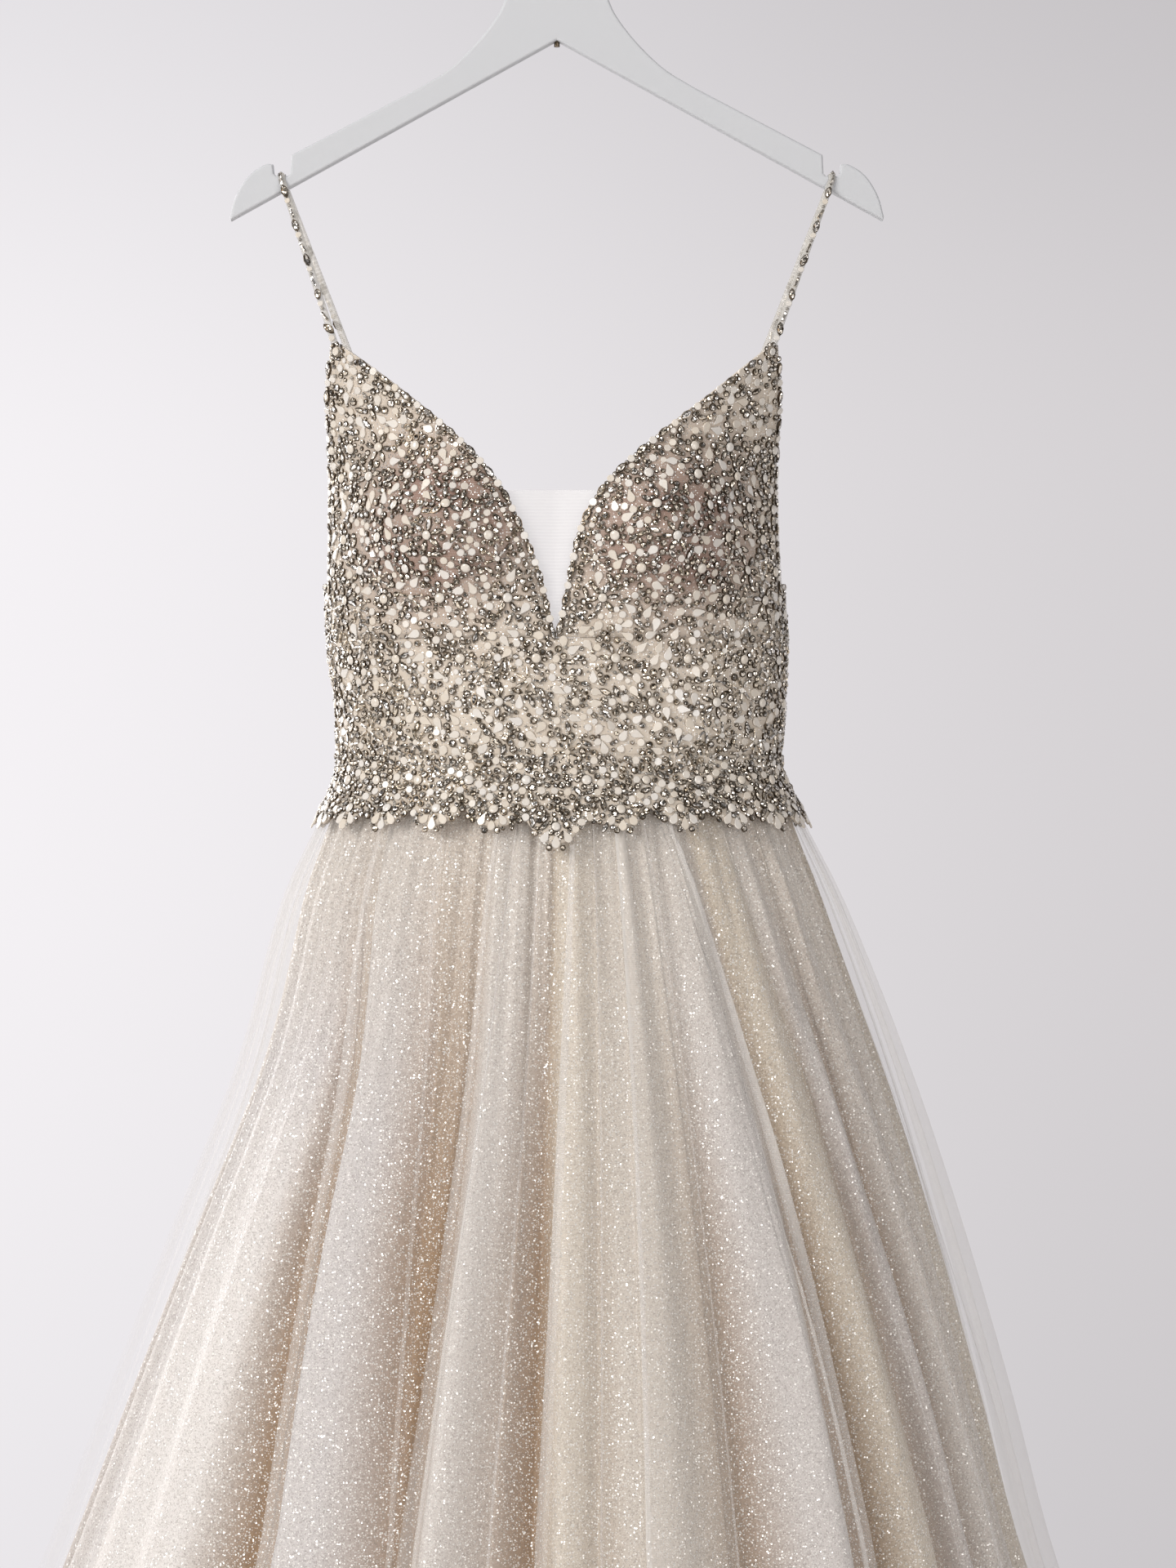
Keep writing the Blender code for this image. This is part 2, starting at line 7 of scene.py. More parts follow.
import bpy
import numpy as np
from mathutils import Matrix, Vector


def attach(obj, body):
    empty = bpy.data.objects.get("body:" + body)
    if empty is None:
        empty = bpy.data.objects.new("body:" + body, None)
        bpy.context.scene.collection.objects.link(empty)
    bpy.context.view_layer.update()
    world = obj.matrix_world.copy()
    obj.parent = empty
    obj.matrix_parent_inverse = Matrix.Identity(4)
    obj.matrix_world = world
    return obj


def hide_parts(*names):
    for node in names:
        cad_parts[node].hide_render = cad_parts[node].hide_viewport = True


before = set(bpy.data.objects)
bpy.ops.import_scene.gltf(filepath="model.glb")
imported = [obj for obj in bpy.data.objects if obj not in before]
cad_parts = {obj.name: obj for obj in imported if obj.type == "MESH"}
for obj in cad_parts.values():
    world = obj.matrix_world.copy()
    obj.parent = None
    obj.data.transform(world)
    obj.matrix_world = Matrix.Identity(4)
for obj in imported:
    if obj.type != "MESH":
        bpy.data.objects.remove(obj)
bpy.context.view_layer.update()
print("frame loaded:", len(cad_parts), "nodes")


# Camera, light and floor

studio = {
    "cameraX": 0.0209,
    "cameraZ": -0.621,
    "distance": 3.2,
    "lens": 145.7,
    "sensor": 36.0,
    "floorZ": -1.752,
    "floorSize": 6.6,
    "floorColour": (0.74, 0.73, 0.72),
    "backdropLeft": (0.925, 0.90, 0.925),
    "backdropRight": (0.65, 0.625, 0.64),
    "roomColour": (0.17, 0.165, 0.158),
    "backdropSpread": 0.17,  # how far to each side, as a direction, the backdrop goes from bright to dim
    "backdropMiddle": 0.035,
    "backdropEven": 0.02,  # and how far up and down from its middle it stays even, then fades a little
    "backdropFadeUp": 0.17,
    "backdropFadeDown": 0.34,
    "backdropDim": (0.83, 0.83, 0.835),
    "backdropAhead": (-0.25, 0.55),
}
lamps = (
    # name, place, aim, size, power, colour
    ("key_light", (-2.6, -2.6, 0.7), (0.0, 0.0, -0.8), 1.9, 112.0, (1.0, 0.97, 0.935)),
    ("fill_light", (2.0, -3.4, -0.4), (0.0, 0.0, -0.9), 2.4, 51.0, (1.0, 0.965, 0.94)),
    ("top_light", (-0.6, -0.4, 2.6), (0.0, 0.0, -0.8), 2.0, 20.0, (1.0, 0.97, 0.945)),
    ("back_light", (-2.6, 2.6, 0.1), (0.0, 0.0, -0.9), 2.4, 70.0, (1.0, 0.98, 0.96)),
)


def addNode(tree, kind, inputs=None, **settings):
    node = tree.nodes.new(kind)
    for key, value in settings.items():
        setattr(node, key, value)
    for key, value in (inputs or {}).items():
        if hasattr(value, "is_output"):
            tree.links.new(value, node.inputs[key])
        else:
            node.inputs[key].default_value = value
    return node


def mixColours(tree, factor, first, second):
    first = first if hasattr(first, "is_output") else (*first, 1)
    second = second if hasattr(second, "is_output") else (*second, 1)
    return addNode(tree, "ShaderNodeMix", {0: factor, 6: first, 7: second}, data_type="RGBA").outputs[2]


def mapRange(tree, value, low, high, outLow=0.0, outHigh=1.0):
    return addNode(tree, "ShaderNodeMapRange", {0: value, 1: low, 2: high, 3: outLow, 4: outHigh}).outputs[0]


def smoothRange(tree, value, low, high):
    return addNode(tree, "ShaderNodeMapRange", {0: value, 1: low, 2: high},
                   interpolation_type="SMOOTHSTEP").outputs[0]


def math2(tree, operation, first, second=0.0):
    return addNode(tree, "ShaderNodeMath", {0: first, 1: second}, operation=operation).outputs[0]


def principled(name, colour, roughness, **values):
    material = bpy.data.materials.new(name)
    material.use_nodes = True
    tree = material.node_tree
    shader = tree.nodes["Principled BSDF"]
    shader.inputs["Base Color"].default_value = (*colour, 1)
    shader.inputs["Roughness"].default_value = roughness
    for key, value in values.items():
        socket = shader.inputs[socketNames[key]]
        socket.default_value = (*value, 1) if isinstance(value, tuple) else value
    return material, tree, shader


socketNames = {
    "colour": "Base Color",
    "roughness": "Roughness",
    "normal": "Normal",
    "metallic": "Metallic",
    "alpha": "Alpha",
    "specular": "Specular IOR Level",
    "sheen": "Sheen Weight",
    "coat": "Coat Weight",
    "coatRoughness": "Coat Roughness",
}


def connect(tree, shader, **values):
    for key, value in values.items():
        tree.links.new(value, shader.inputs[socketNames[key]])


def dimmed(colour, share):
    return tuple(c * share for c in colour)


def makeCamera():
    data = bpy.data.cameras.new("camera")
    data.lens = studio["lens"]
    data.sensor_fit = "HORIZONTAL"
    data.sensor_width = studio["sensor"]
    camera = bpy.data.objects.new("camera", data)
    bpy.context.scene.collection.objects.link(camera)
    camera.location = (studio["cameraX"], -studio["distance"], studio["cameraZ"])
    camera.rotation_euler = (math.radians(90), 0, 0)
    bpy.context.scene.camera = camera


def makeWorld():
    world = bpy.data.worlds.new("studio")
    world.use_nodes = True
    tree = world.node_tree
    direction = addNode(tree, "ShaderNodeTexCoord").outputs["Generated"]
    parts = addNode(tree, "ShaderNodeSeparateXYZ", {"Vector": direction}).outputs
    spread, even = studio["backdropSpread"], studio["backdropEven"]
    across = smoothRange(tree, parts["X"], -spread, spread)
    ahead = smoothRange(tree, parts["Y"], *studio["backdropAhead"])
    backdrop = mixColours(tree, across, studio["backdropLeft"], studio["backdropRight"])
    height = math2(tree, "SUBTRACT", parts["Z"], studio["backdropMiddle"])
    up = smoothRange(tree, height, even, studio["backdropFadeUp"])
    down = smoothRange(tree, height, -even, -studio["backdropFadeDown"])
    dim = mixColours(tree, math2(tree, "MAXIMUM", up, down), (1.0, 1.0, 1.0), studio["backdropDim"])
    backdrop = addNode(tree, "ShaderNodeMix", {0: 1.0, 6: backdrop, 7: dim}, data_type="RGBA",
                       blend_type="MULTIPLY").outputs[2]
    room = mixColours(tree, ahead, studio["roomColour"], backdrop)
    tree.links.new(room, tree.nodes["Background"].inputs["Color"])
    bpy.context.scene.world = world


def makeLamps():
    for name, place, aim, size, power, colour in lamps:
        data = bpy.data.lights.new(name, "AREA")
        data.size = size
        data.energy = power
        data.color = colour
        lamp = bpy.data.objects.new(name, data)
        bpy.context.scene.collection.objects.link(lamp)
        lamp.location = place
        heading = tuple(b - a for a, b in zip(place, aim))
        lamp.rotation_euler = Vector(heading).to_track_quat("-Z", "Y").to_euler()


def makeFloor():
    deselectAll()
    bpy.ops.mesh.primitive_plane_add(size=studio["floorSize"], location=(0, 0, studio["floorZ"]))
    floor = bpy.context.object
    floor.name = "floor"
    applyPlace(floor)
    material, _, _ = principled("studioFloor", studio["floorColour"], 0.7)
    floor.data.materials.append(material)


def deselectAll():
    if bpy.context.object and bpy.context.object.mode == "EDIT":
        bpy.ops.object.mode_set(mode="OBJECT")
    bpy.ops.object.select_all(action="DESELECT")


def chooseOnly(piece):
    deselectAll()
    piece.select_set(True)
    bpy.context.view_layer.objects.active = piece


def applyPlace(piece):
    chooseOnly(piece)
    bpy.ops.object.transform_apply(location=True, rotation=True, scale=True)


def applyModifier(piece, kind, **settings):
    modifier = piece.modifiers.new(kind.lower(), kind)
    for key, value in settings.items():
        setattr(modifier, key, value)
    chooseOnly(piece)
    bpy.ops.object.modifier_apply(modifier=modifier.name)


scene = bpy.context.scene
scene.view_settings.view_transform = "Standard"
scene.cycles.transparent_max_bounces = 24
makeCamera()
makeWorld()
makeLamps()
makeFloor()
print("studio ready")


# Materials

def objectPlace(tree):
    return addNode(tree, "ShaderNodeTexCoord").outputs["Object"]


def clothPlace(tree):
    return addNode(tree, "ShaderNodeUVMap", uv_map="cloth").outputs["UV"]


def readAttribute(tree, name):
    return addNode(tree, "ShaderNodeAttribute", attribute_name=name).outputs["Fac"]


def addBump(tree, shader, height, strength, distance):
    bump = addNode(tree, "ShaderNodeBump", {"Height": height, "Strength": strength, "Distance": distance})
    connect(tree, shader, normal=bump.outputs[0])


def netThreads(tree, pitch):
    # 1 on the threads of a fine net, 0 in its holes
    values = {"Vector": clothPlace(tree), "Scale": 1 / pitch, "Randomness": 0.12}
    cells = addNode(tree, "ShaderNodeTexVoronoi", values, voronoi_dimensions="2D", feature="DISTANCE_TO_EDGE")
    return mapRange(tree, cells.outputs["Distance"], 0.06, 0.20, 1.0, 0.0)


def noiseOf(tree, place, scale, detail=2.0):
    values = {"Vector": place, "Scale": scale, "Detail": detail}
    return addNode(tree, "ShaderNodeTexNoise", values).outputs["Fac"]


def randomCells(tree, scale):
    # How far it is to the middle of each cell, and a random colour for each
    cells = addNode(tree, "ShaderNodeTexVoronoi", {"Vector": objectPlace(tree), "Scale": scale}).outputs
    return cells["Distance"], cells["Color"]


def channel(tree, colour, index):
    return addNode(tree, "ShaderNodeSeparateColor", {"Color": colour}).outputs[index]


def vectorMath(tree, operation, inputs):
    return addNode(tree, "ShaderNodeVectorMath", inputs, operation=operation).outputs[0]


def flakes(tree, pitch, size, share):
    # A random flake in some of the cells: its mask and its own random colour
    distance, colour = randomCells(tree, 1 / pitch)
    near = mapRange(tree, distance, size, size * 0.75, 0.0, 1.0)
    mask = math2(tree, "MULTIPLY", near, math2(tree, "LESS_THAN", channel(tree, colour, 0), share))
    return mask, colour


def tiltedNormal(tree, colour, mask, strength):
    # Each flake or facet faces its own way
    normal = addNode(tree, "ShaderNodeNewGeometry").outputs["Normal"]
    centred = vectorMath(tree, "SUBTRACT", {0: colour, 1: (0.5, 0.5, 0.5)})
    tilt = vectorMath(tree, "SCALE", {0: centred, "Scale": math2(tree, "MULTIPLY", mask, strength)})
    return vectorMath(tree, "NORMALIZE", {0: vectorMath(tree, "ADD", {0: normal, 1: tilt})})


skirtFinish = {
    "tulleColour": (0.88, 0.86, 0.84),
    "tulleDim": 0.88,  # how bright the holes of the net are beside its threads
    # painted highlights on the ridges, pale and lilac
    "paleHighlight": (0.80, 0.77, 0.755),
    "lilacHighlight": (0.635, 0.60, 0.60),
    "ridgeWarm": (0.61, 0.525, 0.415),
    "ridgePlain": (0.64, 0.575, 0.51),
    # painted shade in the fold valleys
    "paintedValleyShade": (0.262, 0.138, 0.042),
    "glitterAlpha": 0.92,
    "flakeColour": (1.0, 0.98, 0.95),
    "darkGlintColour": (0.12, 0.09, 0.07),
    "liningColour": (0.60, 0.38, 0.24),
}


def makeTulle():
    colour = skirtFinish["tulleColour"]
    material, tree, shader = principled("sheerTulle", colour, 0.7, specular=0.15)
    threads = netThreads(tree, 0.0014)
    holes = dimmed(colour, skirtFinish["tulleDim"])
    connect(tree, shader, colour=mixColours(tree, threads, holes, colour), alpha=readAttribute(tree, "veil"))
    addBump(tree, shader, threads, 0.3, 0.0003)
    return material


def makeGlitterTulle():
    look = skirtFinish
    material, tree, shader = principled("glitterTulle", look["ridgePlain"], 0.5)
    tone = readAttribute(tree, "tone")
    cloth = look["ridgePlain"]
    # Ridge tones: warm, and painted highlights in lilac and pale
    for low, high, colour in ((0, 1, "lilacHighlight"), (0, -1, "ridgeWarm"), (1, 2, "paleHighlight")):
        cloth = mixColours(tree, mapRange(tree, tone, low, high), cloth, look[colour])
    # Painted shade: the fold valleys are darkened towards brown
    valley = mapRange(tree, readAttribute(tree, "valley"), 0.15, 1.0)
    cloth = mixColours(tree, valley, cloth, look["paintedValleyShade"])
    # Painted reflection: dark specks stand for flakes that mirror the dark room
    _, glintCells = randomCells(tree, 1 / 0.0009)
    darkGlint = mapRange(tree, channel(tree, glintCells, 1), 0.55, 1.0, 0.0, 0.46)
    cloth = mixColours(tree, darkGlint, cloth, look["darkGlintColour"])
    small, _ = flakes(tree, 0.0011, 0.40, 0.42)
    large, largeColour = flakes(tree, 0.0019, 0.33, 0.55)
    bright, _ = flakes(tree, 0.0032, 0.23, 0.75)
    large = math2(tree, "MAXIMUM", large, bright)
    # Flakes: their own pale silver plus painted glint, being white and not, or only partly, metallic
    cloth = mixColours(tree, math2(tree, "MULTIPLY", small, 0.6), cloth, look["flakeColour"])
    connect(tree, shader, colour=mixColours(tree, large, cloth, look["flakeColour"]),
            alpha=readAttribute(tree, "veil"), metallic=math2(tree, "MULTIPLY", large, 0.55),
            roughness=mapRange(tree, large, 0, 1, 0.55, 0.28),
            normal=tiltedNormal(tree, largeColour, large, 1.0))
    return material


def makeLining():
    colour = skirtFinish["liningColour"]
    material, tree, shader = principled("champagneLining", colour, 0.42, sheen=0.2)
    noise = noiseOf(tree, clothPlace(tree), 900.0)
    connect(tree, shader, colour=mixColours(tree, noise, dimmed(colour, 0.88), colour))
    addBump(tree, shader, noise, 0.15, 0.0004)
    return material


bodiceFinish = {
    "ivory": (0.60, 0.52, 0.43),
    "nudeAndShade": (0.21, 0.10, 0.065),
    "threadColour": (0.82, 0.79, 0.75),
    "flakeColour": (0.95, 0.93, 0.90),
    "netColour": (0.96, 0.95, 0.945),
    "netPitch": 0.0022,
    "netAlpha": 0.34,
    "crystalPale": (0.95, 0.93, 0.91),
    "crystalWarm": (0.90, 0.80, 0.66),
    "darkFacetReflection": (0.10, 0.085, 0.07),
    "settingColour": (0.18, 0.14, 0.10),
    "opalCool": (0.74, 0.71, 0.675),
    "opalWarm": (0.70, 0.63, 0.54),
    "seedColour": (0.40, 0.37, 0.33),
}


def makeBeadedNet():
    look = bodiceFinish
    material, tree, shader = principled("beadedNet", look["ivory"], 0.6, sheen=0.2)
    # Rose-brown in the cups: the nude lining under the net, with painted shade
    patch = mapRange(tree, noiseOf(tree, objectPlace(tree), 28.0, 3.0), 0.35, 0.62, 0.68, 1.0)
    nudeAndShadeShare = math2(tree, "MULTIPLY", readAttribute(tree, "nudeAndShade"), patch)
    cloth = mixColours(tree, nudeAndShadeShare, look["ivory"], look["nudeAndShade"])
    threads = math2(tree, "MULTIPLY", netThreads(tree, 0.0011), 0.25)
    cloth = mixColours(tree, threads, cloth, look["threadColour"])
    mask, colour = flakes(tree, 0.0013, 0.45, 0.45)
    connect(tree, shader, colour=mixColours(tree, mask, cloth, look["flakeColour"]), metallic=mask,
            roughness=mapRange(tree, mask, 0, 1, 0.6, 0.3), normal=tiltedNormal(tree, colour, mask, 1.2))
    return material


def makeInsetNet():
    colour = bodiceFinish["netColour"]
    material, tree, shader = principled("insetNet", colour, 0.55, alpha=bodiceFinish["netAlpha"],
                                        sheen=0.2, specular=0.3)
    place = addNode(tree, "ShaderNodeSeparateXYZ", {"Vector": clothPlace(tree)}).outputs["Y"]
    wave = math2(tree, "SINE", math2(tree, "MULTIPLY", place, 2 * math.pi / bodiceFinish["netPitch"]))
    threads = mapRange(tree, wave, 0.2, 0.9)
    connect(tree, shader, colour=mixColours(tree, threads, dimmed(colour, 0.93), colour))
    addBump(tree, shader, threads, 0.3, 0.0003)
    return material


def makeCrystal():
    look = bodiceFinish
    material, tree, shader = principled("clearCrystal", look["crystalPale"], 0.05, metallic=1.0)
    tone = readAttribute(tree, "tone")
    glass = mixColours(tree, tone, look["crystalPale"], look["crystalWarm"])
    # Painted reflection: some facets are made near black, for the dark room they would mirror
    _, facets = randomCells(tree, 640.0)
    deep = mapRange(tree, channel(tree, facets, 2), 0.60, 0.70, 0.0, 0.70)
    connect(tree, shader, colour=mixColours(tree, deep, glass, look["darkFacetReflection"]),
            normal=tiltedNormal(tree, facets, 1.0, 1.2), roughness=mapRange(tree, tone, 0, 1, 0.04, 0.12))
    return material


def makeSetting():
    colour = bodiceFinish["settingColour"]
    material, tree, shader = principled("antiqueSilver", colour, 0.35, metallic=1.0)
    noise = noiseOf(tree, objectPlace(tree), 400.0)
    connect(tree, shader, colour=mixColours(tree, noise, dimmed(colour, 0.45), colour),
            roughness=mapRange(tree, noise, 0.3, 0.7, 0.5, 0.25))
    return material


def makeOpal():
    look = bodiceFinish
    material, tree, shader = principled("milkyOpal", look["opalCool"], 0.22, coat=0.6, coatRoughness=0.05)
    cloud = noiseOf(tree, objectPlace(tree), 260.0)
    mixed = math2(tree, "MULTIPLY", math2(tree, "ADD", readAttribute(tree, "tone"), cloud), 0.5)
    colour = mixColours(tree, mapRange(tree, mixed, 0.25, 0.75), look["opalCool"], look["opalWarm"])
    connect(tree, shader, colour=colour, roughness=mapRange(tree, cloud, 0.3, 0.7, 0.16, 0.30))
    return material


def makeSeed():
    colour = bodiceFinish["seedColour"]
    material, tree, shader = principled("glassSeed", colour, 0.18, metallic=0.35, coat=0.8,
                                        coatRoughness=0.04)
    tone = readAttribute(tree, "tone")
    connect(tree, shader, colour=mixColours(tree, tone, colour, dimmed(colour, 0.62)),
            roughness=mapRange(tree, tone, 0, 1, 0.12, 0.26))
    return material


plainFinish = {
    "ribbonColour": (0.80, 0.78, 0.74),
    "ribbonHoles": (0.62, 0.60, 0.56),
    "ribbonThreads": (0.86, 0.84, 0.81),
    "paintColour": (0.57, 0.585, 0.615),
    "steelColour": (0.62, 0.62, 0.63),
    "steelDark": (0.52, 0.52, 0.53),
    "steelPale": (0.70, 0.70, 0.71),
    "satinColour": (0.72, 0.66, 0.58),
    "satinDark": (0.66, 0.60, 0.52),
    "satinPale": (0.76, 0.70, 0.62),
}


def makeRibbon():
    look = plainFinish
    material, tree, shader = principled("ribbonNet", look["ribbonColour"], 0.35, alpha=0.55, specular=0.6)
    threads = netThreads(tree, 0.0009)
    connect(tree, shader, colour=mixColours(tree, threads, look["ribbonHoles"], look["ribbonThreads"]))
    addBump(tree, shader, threads, 0.4, 0.0002)
    return material


def makePaint():
    return principled("hangerPaint", plainFinish["paintColour"], 0.5, specular=0.3)[0]


def makeSteel():
    look = plainFinish
    material, tree, shader = principled("hookSteel", look["steelColour"], 0.25, metallic=1.0)
    place = addNode(tree, "ShaderNodeMapping", {"Vector": objectPlace(tree), "Scale": (300.0, 300.0, 2500.0)})
    scratch = noiseOf(tree, place.outputs[0], 1.0)
    connect(tree, shader, colour=mixColours(tree, scratch, look["steelDark"], look["steelPale"]),
            roughness=mapRange(tree, scratch, 0.3, 0.7, 0.2, 0.34))
    return material


def makeSatin():
    look = plainFinish
    material, tree, shader = principled("buttonSatin", look["satinColour"], 0.34, sheen=0.4)
    weave = noiseOf(tree, objectPlace(tree), 1800.0, 1.0)
    connect(tree, shader, colour=mixColours(tree, weave, look["satinDark"], look["satinPale"]))
    addBump(tree, shader, weave, 0.2, 0.0002)
    return material


finishes = {
    "sheerTulle": makeTulle(),
    "glitterTulle": makeGlitterTulle(),
    "champagneLining": makeLining(),
    "beadedNet": makeBeadedNet(),
    "insetNet": makeInsetNet(),
    "clearCrystal": makeCrystal(),
    "antiqueSilver": makeSetting(),
    "milkyOpal": makeOpal(),
    "glassSeed": makeSeed(),
    "ribbonNet": makeRibbon(),
    "hangerPaint": makePaint(),
    "hookSteel": makeSteel(),
    "buttonSatin": makeSatin(),
}
print("finishes ready:", len(finishes))


# The garment's outline, as in the construction: height, half widths left and right, depths front and back

bodiceTable = np.array((
    (-0.330, 0.1700, 0.1665, 0.094, 0.078),
    (-0.368, 0.1640, 0.1595, 0.086, 0.078),
    (-0.407, 0.1554, 0.1505, 0.078, 0.078),
    (-0.450, 0.1548, 0.1500, 0.076, 0.079),
    (-0.490, 0.1550, 0.1520, 0.079, 0.080),
    (-0.525, 0.1540, 0.1540, 0.083, 0.081),
    (-0.560, 0.1492, 0.1528, 0.082, 0.081),
    (-0.595, 0.1468, 0.1500, 0.079, 0.080),
    (-0.610, 0.1458, 0.1488, 0.078, 0.079),
))
skirtTable = np.array((
    (-0.610, 0.1458, 0.1488, 0.078, 0.079),
    (-0.624, 0.1500, 0.1550, 0.082, 0.083),
    (-0.649, 0.1620, 0.1680, 0.092, 0.094),
    (-0.698, 0.1850, 0.1930, 0.112, 0.116),
    (-0.808, 0.2160, 0.2370, 0.148, 0.155),
    (-0.918, 0.2600, 0.2740, 0.178, 0.190),
    (-1.027, 0.3030, 0.3060, 0.205, 0.222),
    (-1.137, 0.3460, 0.3350, 0.233, 0.255),
    (-1.400, 0.4500, 0.4250, 0.292, 0.318),
    (-1.710, 0.5560, 0.5280, 0.350, 0.378),
))
# The neckline: height, and where the left and right cup's inner edge lies across from the centre
necklineTable = np.array((
    (-0.3300, -0.1438, 0.1433),
    (-0.3630, -0.1000, 0.1030),
    (-0.3930, -0.0640, 0.0648),
    (-0.4230, -0.0380, 0.0330),
    (-0.4510, -0.0230, 0.0165),
    (-0.4840, -0.0100, 0.0082),
    (-0.5250, -0.0002, 0.0002),
))
shape = {
    "waistZ": -0.610,
    "hemZ": -1.710,
    "cupTopZ": -0.330,
    "cupFootZ": -0.525,
    "sideTopZ": -0.490,
    "underarmZ": -0.407,
    "backDip": 0.128,
    "sideSeam": 78.0,
    "backSeam": 112.0,
    "strapBack": 146.0,
    "strapSwing": 16.0,
    "cupAngle": 33.0,
    "cupSpread": 24.0,
    "cupZ": -0.452,
    "cupHeight": 0.046,
    "cupFullness": 0.036,
}


def readTable(table, z, column):
    # A smooth curve through a table's rows
    heights, values = table[:, 0], table[:, column]
    step = lambda row: np.append(row[1:], row[-1]) - np.append(row[0], row[:-1])
    slopes = step(values) / step(heights)
    z = np.clip(z, heights[-1], heights[0])
    i = np.clip(np.searchsorted(-heights, -z, side="right") - 1, 0, len(heights) - 2)
    span = heights[i + 1] - heights[i]
    s = (z - heights[i]) / span
    here = (2 * s**3 - 3 * s**2 + 1) * values[i] + (s**3 - 2 * s**2 + s) * span * slopes[i]
    return here + (3 * s**2 - 2 * s**3) * values[i + 1] + (s**3 - s**2) * span * slopes[i + 1]


def wrapDegrees(degrees):
    return (degrees + 180) % 360 - 180


def outlineSizes(table, degrees, z):
    angle = np.radians(wrapDegrees(degrees))
    across, forward = np.sin(angle), np.cos(angle)
    wide = np.where(across > 0, readTable(table, z, 2), readTable(table, z, 1))
    deep = np.where(forward > 0, readTable(table, z, 3), readTable(table, z, 4))
    return across, forward, wide, deep


def bodicePoint(degrees, z):
    across, forward, wide, deep = outlineSizes(bodiceTable, degrees, z)
    sideways = (np.abs(wrapDegrees(degrees)) - shape["cupAngle"]) / shape["cupSpread"]
    along = (z - shape["cupZ"]) / shape["cupHeight"]
    swell = np.where(forward > 0, shape["cupFullness"] * np.exp(-sideways**2 - along**2), 0.0)
    return np.stack((wide * across, -(deep + swell) * forward, z + 0 * across), -1)


def unit(vectors):
    return vectors / np.linalg.norm(vectors, axis=-1, keepdims=True)


def bodiceFrame(degrees, z):
    # A place on the bodice with its directions: sideways, up and out
    degrees, z = np.broadcast_arrays(np.asarray(degrees, float), np.asarray(z, float))
    sideways = unit(bodicePoint(degrees + 1, z) - bodicePoint(degrees - 1, z))
    up = bodicePoint(degrees, z + 0.003) - bodicePoint(degrees, z - 0.003)
    out = unit(np.cross(sideways, up))
    return bodicePoint(degrees, z), sideways, np.cross(out, sideways), out


def bodiceAt(degrees, z, lift):
    point, _, _, out = bodiceFrame(degrees, z)
    return point + out * lift


def bodiceAngle(x, z):
    half = np.where(x > 0, readTable(bodiceTable, z, 2), readTable(bodiceTable, z, 1))
    return np.degrees(np.arcsin(np.clip(x / half, -1, 1)))


def necklineAngle(side, z):
    return bodiceAngle(readTable(necklineTable, z, 2 if side > 0 else 1), z)


def cupEdgeAngle(z):
    rise = np.maximum(0.0, (z - shape["underarmZ"]) / (shape["cupTopZ"] - shape["underarmZ"]))
    return shape["sideSeam"] - shape["strapSwing"] * rise**0.8


def backTop(degrees):
    past = (np.abs(wrapDegrees(degrees)) - shape["backSeam"]) / (180 - shape["backSeam"])
    return shape["underarmZ"] - shape["backDip"] * np.clip(past, 0, 1)


# Meshes from grids: rows run down the cloth and columns round the body, so that faces point outwards

def gridObject(name, points, uv, attributes=None):
    rows, columns = points.shape[:2]
    index = np.arange(rows * columns).reshape(rows, columns)
    corners = (index[:-1, :-1], index[1:, :-1], index[1:, 1:], index[:-1, 1:])
    quads = np.stack(corners, -1).reshape(-1, 4)
    mesh = arrayMesh(name, points.reshape(-1, 3), quads.reshape(-1), np.full(len(quads), 4))
    layer = mesh.uv_layers.new(name="cloth")
    layer.data.foreach_set("uv", uv.reshape(-1, 2)[quads.reshape(-1)].astype(np.float32).ravel())
    for key, values in (attributes or {}).items():
        addValues(mesh, key, values)
    piece = bpy.data.objects.new(name, mesh)
    scene.collection.objects.link(piece)
    return piece


def arrayMesh(name, points, loops, sizes, smooth=True):
    mesh = bpy.data.meshes.new(name)
    mesh.vertices.add(len(points))
    mesh.vertices.foreach_set("co", np.ascontiguousarray(points, np.float32).ravel())
    mesh.loops.add(len(loops))
    mesh.loops.foreach_set("vertex_index", np.ascontiguousarray(loops, np.int32))
    mesh.polygons.add(len(sizes))
    starts = np.concatenate(([0], np.cumsum(sizes)[:-1]))
    mesh.polygons.foreach_set("loop_start", starts.astype(np.int32))
    mesh.polygons.foreach_set("loop_total", np.asarray(sizes, np.int32))
    flags = np.broadcast_to(np.asarray(smooth, bool), (len(sizes),))
    mesh.polygons.foreach_set("use_smooth", np.ascontiguousarray(flags))
    mesh.update(calc_edges=True)
    mesh.validate()
    return mesh


def addValues(mesh, name, values):
    attribute = mesh.attributes.new(name, "FLOAT", "POINT")
    attribute.data.foreach_set("value", np.ascontiguousarray(values, np.float32).ravel())


def clothUv(points):
    # Flat lengths along the cloth in metres, so that weaves keep their scale
    along = np.linalg.norm(np.diff(points, axis=0), axis=-1).mean(1)
    across = np.linalg.norm(np.diff(points, axis=1), axis=-1).max(0)
    v = np.concatenate(([0], np.cumsum(along)))
    u = np.concatenate(([0], np.cumsum(across)))
    return np.stack(np.meshgrid(u, -v), -1)


def dressPiece(piece, finish, slot, *nodes):
    piece.data.materials.clear()
    piece.data.materials.append(finishes[finish])
    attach(piece, "root")
    if nodes:
        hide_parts(*nodes)
    return piece


# The skirt: three layers, each cut as a front and a back

